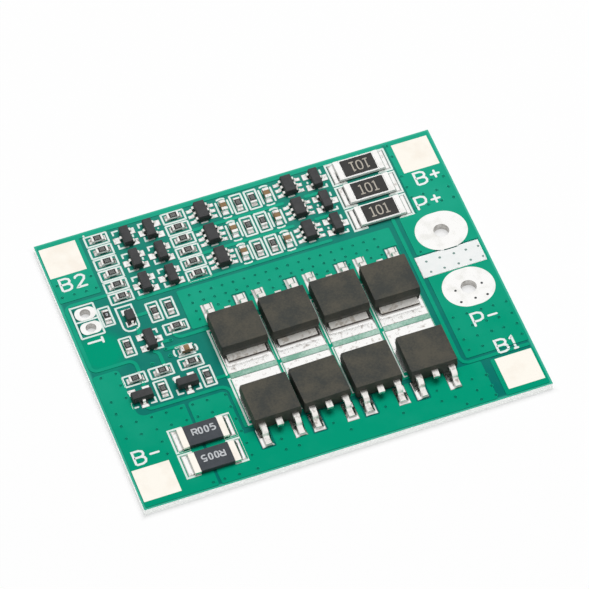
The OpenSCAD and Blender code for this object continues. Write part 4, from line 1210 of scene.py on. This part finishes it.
def valueCodes(text, height, stroke, advance, spots):
    wide = (len(text) - 1) * advance + inkLook["figure"] * height
    strokes = []
    for x, y, turn in spots:
        corner = Matrix.Rotation(math.radians(turn), 2) @ Vector((-wide / 2, -height / 2))
        strokes += word(text, x + corner.x, y + corner.y, height, stroke, advance / height, turn)
    return strokes


drillVias(copies)
print("vias drilled")
ink = inkTree()
relief = joined("relief", [board, topCopper])
letters = [stroke for text, x, y, height, advance, turn in markLook
           for stroke in word(text, x, y, height, inkLook["letter"], advance, turn)]
starved = [(line, inkLook["starvedLine"]) for line in spread(
    [(x, 0) for x in partPlaces["mosfetColumns"]], mosfetPrint["starved"])]
for name, strokes, finish in (
        ("legend", legendStrokes(), "thin silkscreen ink"), ("letters", letters, "silkscreen ink"),
        ("starvedLegend", starved, "starved ink")):
    printInk(ink, name, strokes, relief, finish, inkLook["spacing"])
printSheet("whiteStrip", relief, inkLook["strip"], (60, 24), "silkscreen ink")
left, lower, right, upper = mosfetPrint["band"]
for i, x in enumerate(partPlaces["mosfetColumns"], 1):
    printSheet(f"band{i}", relief, (x + left, lower, x + right, upper), (40, 6), "starved ink")
bpy.data.objects.remove(relief)
relief = joined("relief", [board, topCopper, bpy.data.objects["whiteStrip"]])
printInk(ink, "maskGaps", gapStrokes(), relief, "mask in a via", inkLook["spacing"], "masked_copper")
bpy.data.objects.remove(relief)
for kind, (text, height, stroke, advance, finish, cover, spots) in valueLook.items():
    bed = joined("bed", [bpy.data.objects[name] for name in cover])
    printInk(ink, kind + "Values", valueCodes(text, height, stroke, advance, spots), bed, finish,
             inkLook["fineSpacing"])
    bpy.data.objects.remove(bed)
print("print laid")


# Studio

studioLook = {
    "floorSize": 3.0,           # metres
    "floorColour": "#f2f2f2",
    "floorGlow": 0.96,          # how much of the floor the camera sees as plain white
    "holeGlow": 0.5,            # the same at the board's edge and in its holes
    "contact": 0.8,             # mm over which the shadow beside the board fades
    "footprint": 0.999,         # share of the board's outline that the floor leaves open
    "holeFloor": (0.98, 0.05),  # share of that under the holes, and its height in mm, in the laminate
    "sky": 0.23,                # light of the room on the object
    "key": (0.09, 0.15, 0.455, 0.32, 1.87),    # place of the lamp, its side and its power
    "fill": (-0.10, -0.30, 0.40, 0.30, 0.06),  # a weaker one in front
}


def seenDirectly(tree):
    # 1 for the camera and for what shows in gloss and glass, 0 for light on the object
    path = addNode(tree, "ShaderNodeLightPath").outputs
    either = addNode(tree, "ShaderNodeMath", {
        0: path["Is Camera Ray"], 1: path["Is Glossy Ray"]}, operation="MAXIMUM")
    return addNode(tree, "ShaderNodeMath", {0: either, 1: path["Is Transmission Ray"]}, operation="MAXIMUM")


def layFloor():
    # A ring round the board, and a patch below its holes, sunk in the laminate so it shows in them alone
    form = bmesh.new()
    far, opening = studioLook["floorSize"] / 2, studioLook["footprint"]
    within, height = studioLook["holeFloor"]
    around = ((-1, -1), (1, -1), (1, 1), (-1, 1))
    outer = [form.verts.new((x * far, y * far, 0)) for x, y in around]
    inner = [form.verts.new((x * boardHigh.x * opening, y * boardHigh.y * opening, 0)) for x, y in around]
    band(form, outer, inner)
    form.faces.new([
        form.verts.new((within * v.co.x, within * v.co.y, boardLow.z + height * mm)) for v in inner])
    floor = addPiece("floor", meshOf("floor", form, False))
    material, tree, shader, place = startMaterial("studio paper", {
        "Roughness": 0.9, "Specular IOR Level": 0.1, "Base Color": linear(studioLook["floorColour"])})
    glow = addNode(tree, "ShaderNodeMapRange", {
        "Value": pastEdge(tree, place), "From Max": studioLook["contact"] * mm,
        "To Min": studioLook["holeGlow"], "To Max": studioLook["floorGlow"]})
    share = addNode(tree, "ShaderNodeMath", {0: seenDirectly(tree), 1: glow}, operation="MULTIPLY")
    white = addNode(tree, "ShaderNodeEmission", {"Color": (1, 1, 1, 1), "Strength": 1.0})
    mixed = addNode(tree, "ShaderNodeMixShader", {0: share, 1: shader, 2: white})
    setInputs(tree.nodes["Material Output"], {"Surface": mixed})
    floor.data.materials.append(material)


def lightRoom():
    world = bpy.data.worlds.new("room")
    bpy.context.scene.world = world
    world.use_nodes = True
    strength = addNode(world.node_tree, "ShaderNodeMapRange", {
        "Value": seenDirectly(world.node_tree), "To Min": studioLook["sky"], "To Max": 1.0})
    setInputs(world.node_tree.nodes["Background"], {"Strength": strength, "Color": (1, 1, 1, 1)})
    for name in ("key", "fill"):
        x, y, z, side, power = studioLook[name]
        lamp = bpy.data.objects.new(name, bpy.data.lights.new(name, "AREA"))
        lamp.data.shape = "SQUARE"
        lamp.data.size = side
        lamp.data.energy = power
        lamp.location = (x, y, z)
        lamp.rotation_euler = (-lamp.location).to_track_quat("-Z", "Y").to_euler()
        lamp.visible_glossy = False  # bright metal shows the white room instead
        bpy.context.scene.collection.objects.link(lamp)


layFloor()
lightRoom()
bpy.context.scene.view_settings.view_transform = "Standard"
print("studio set")
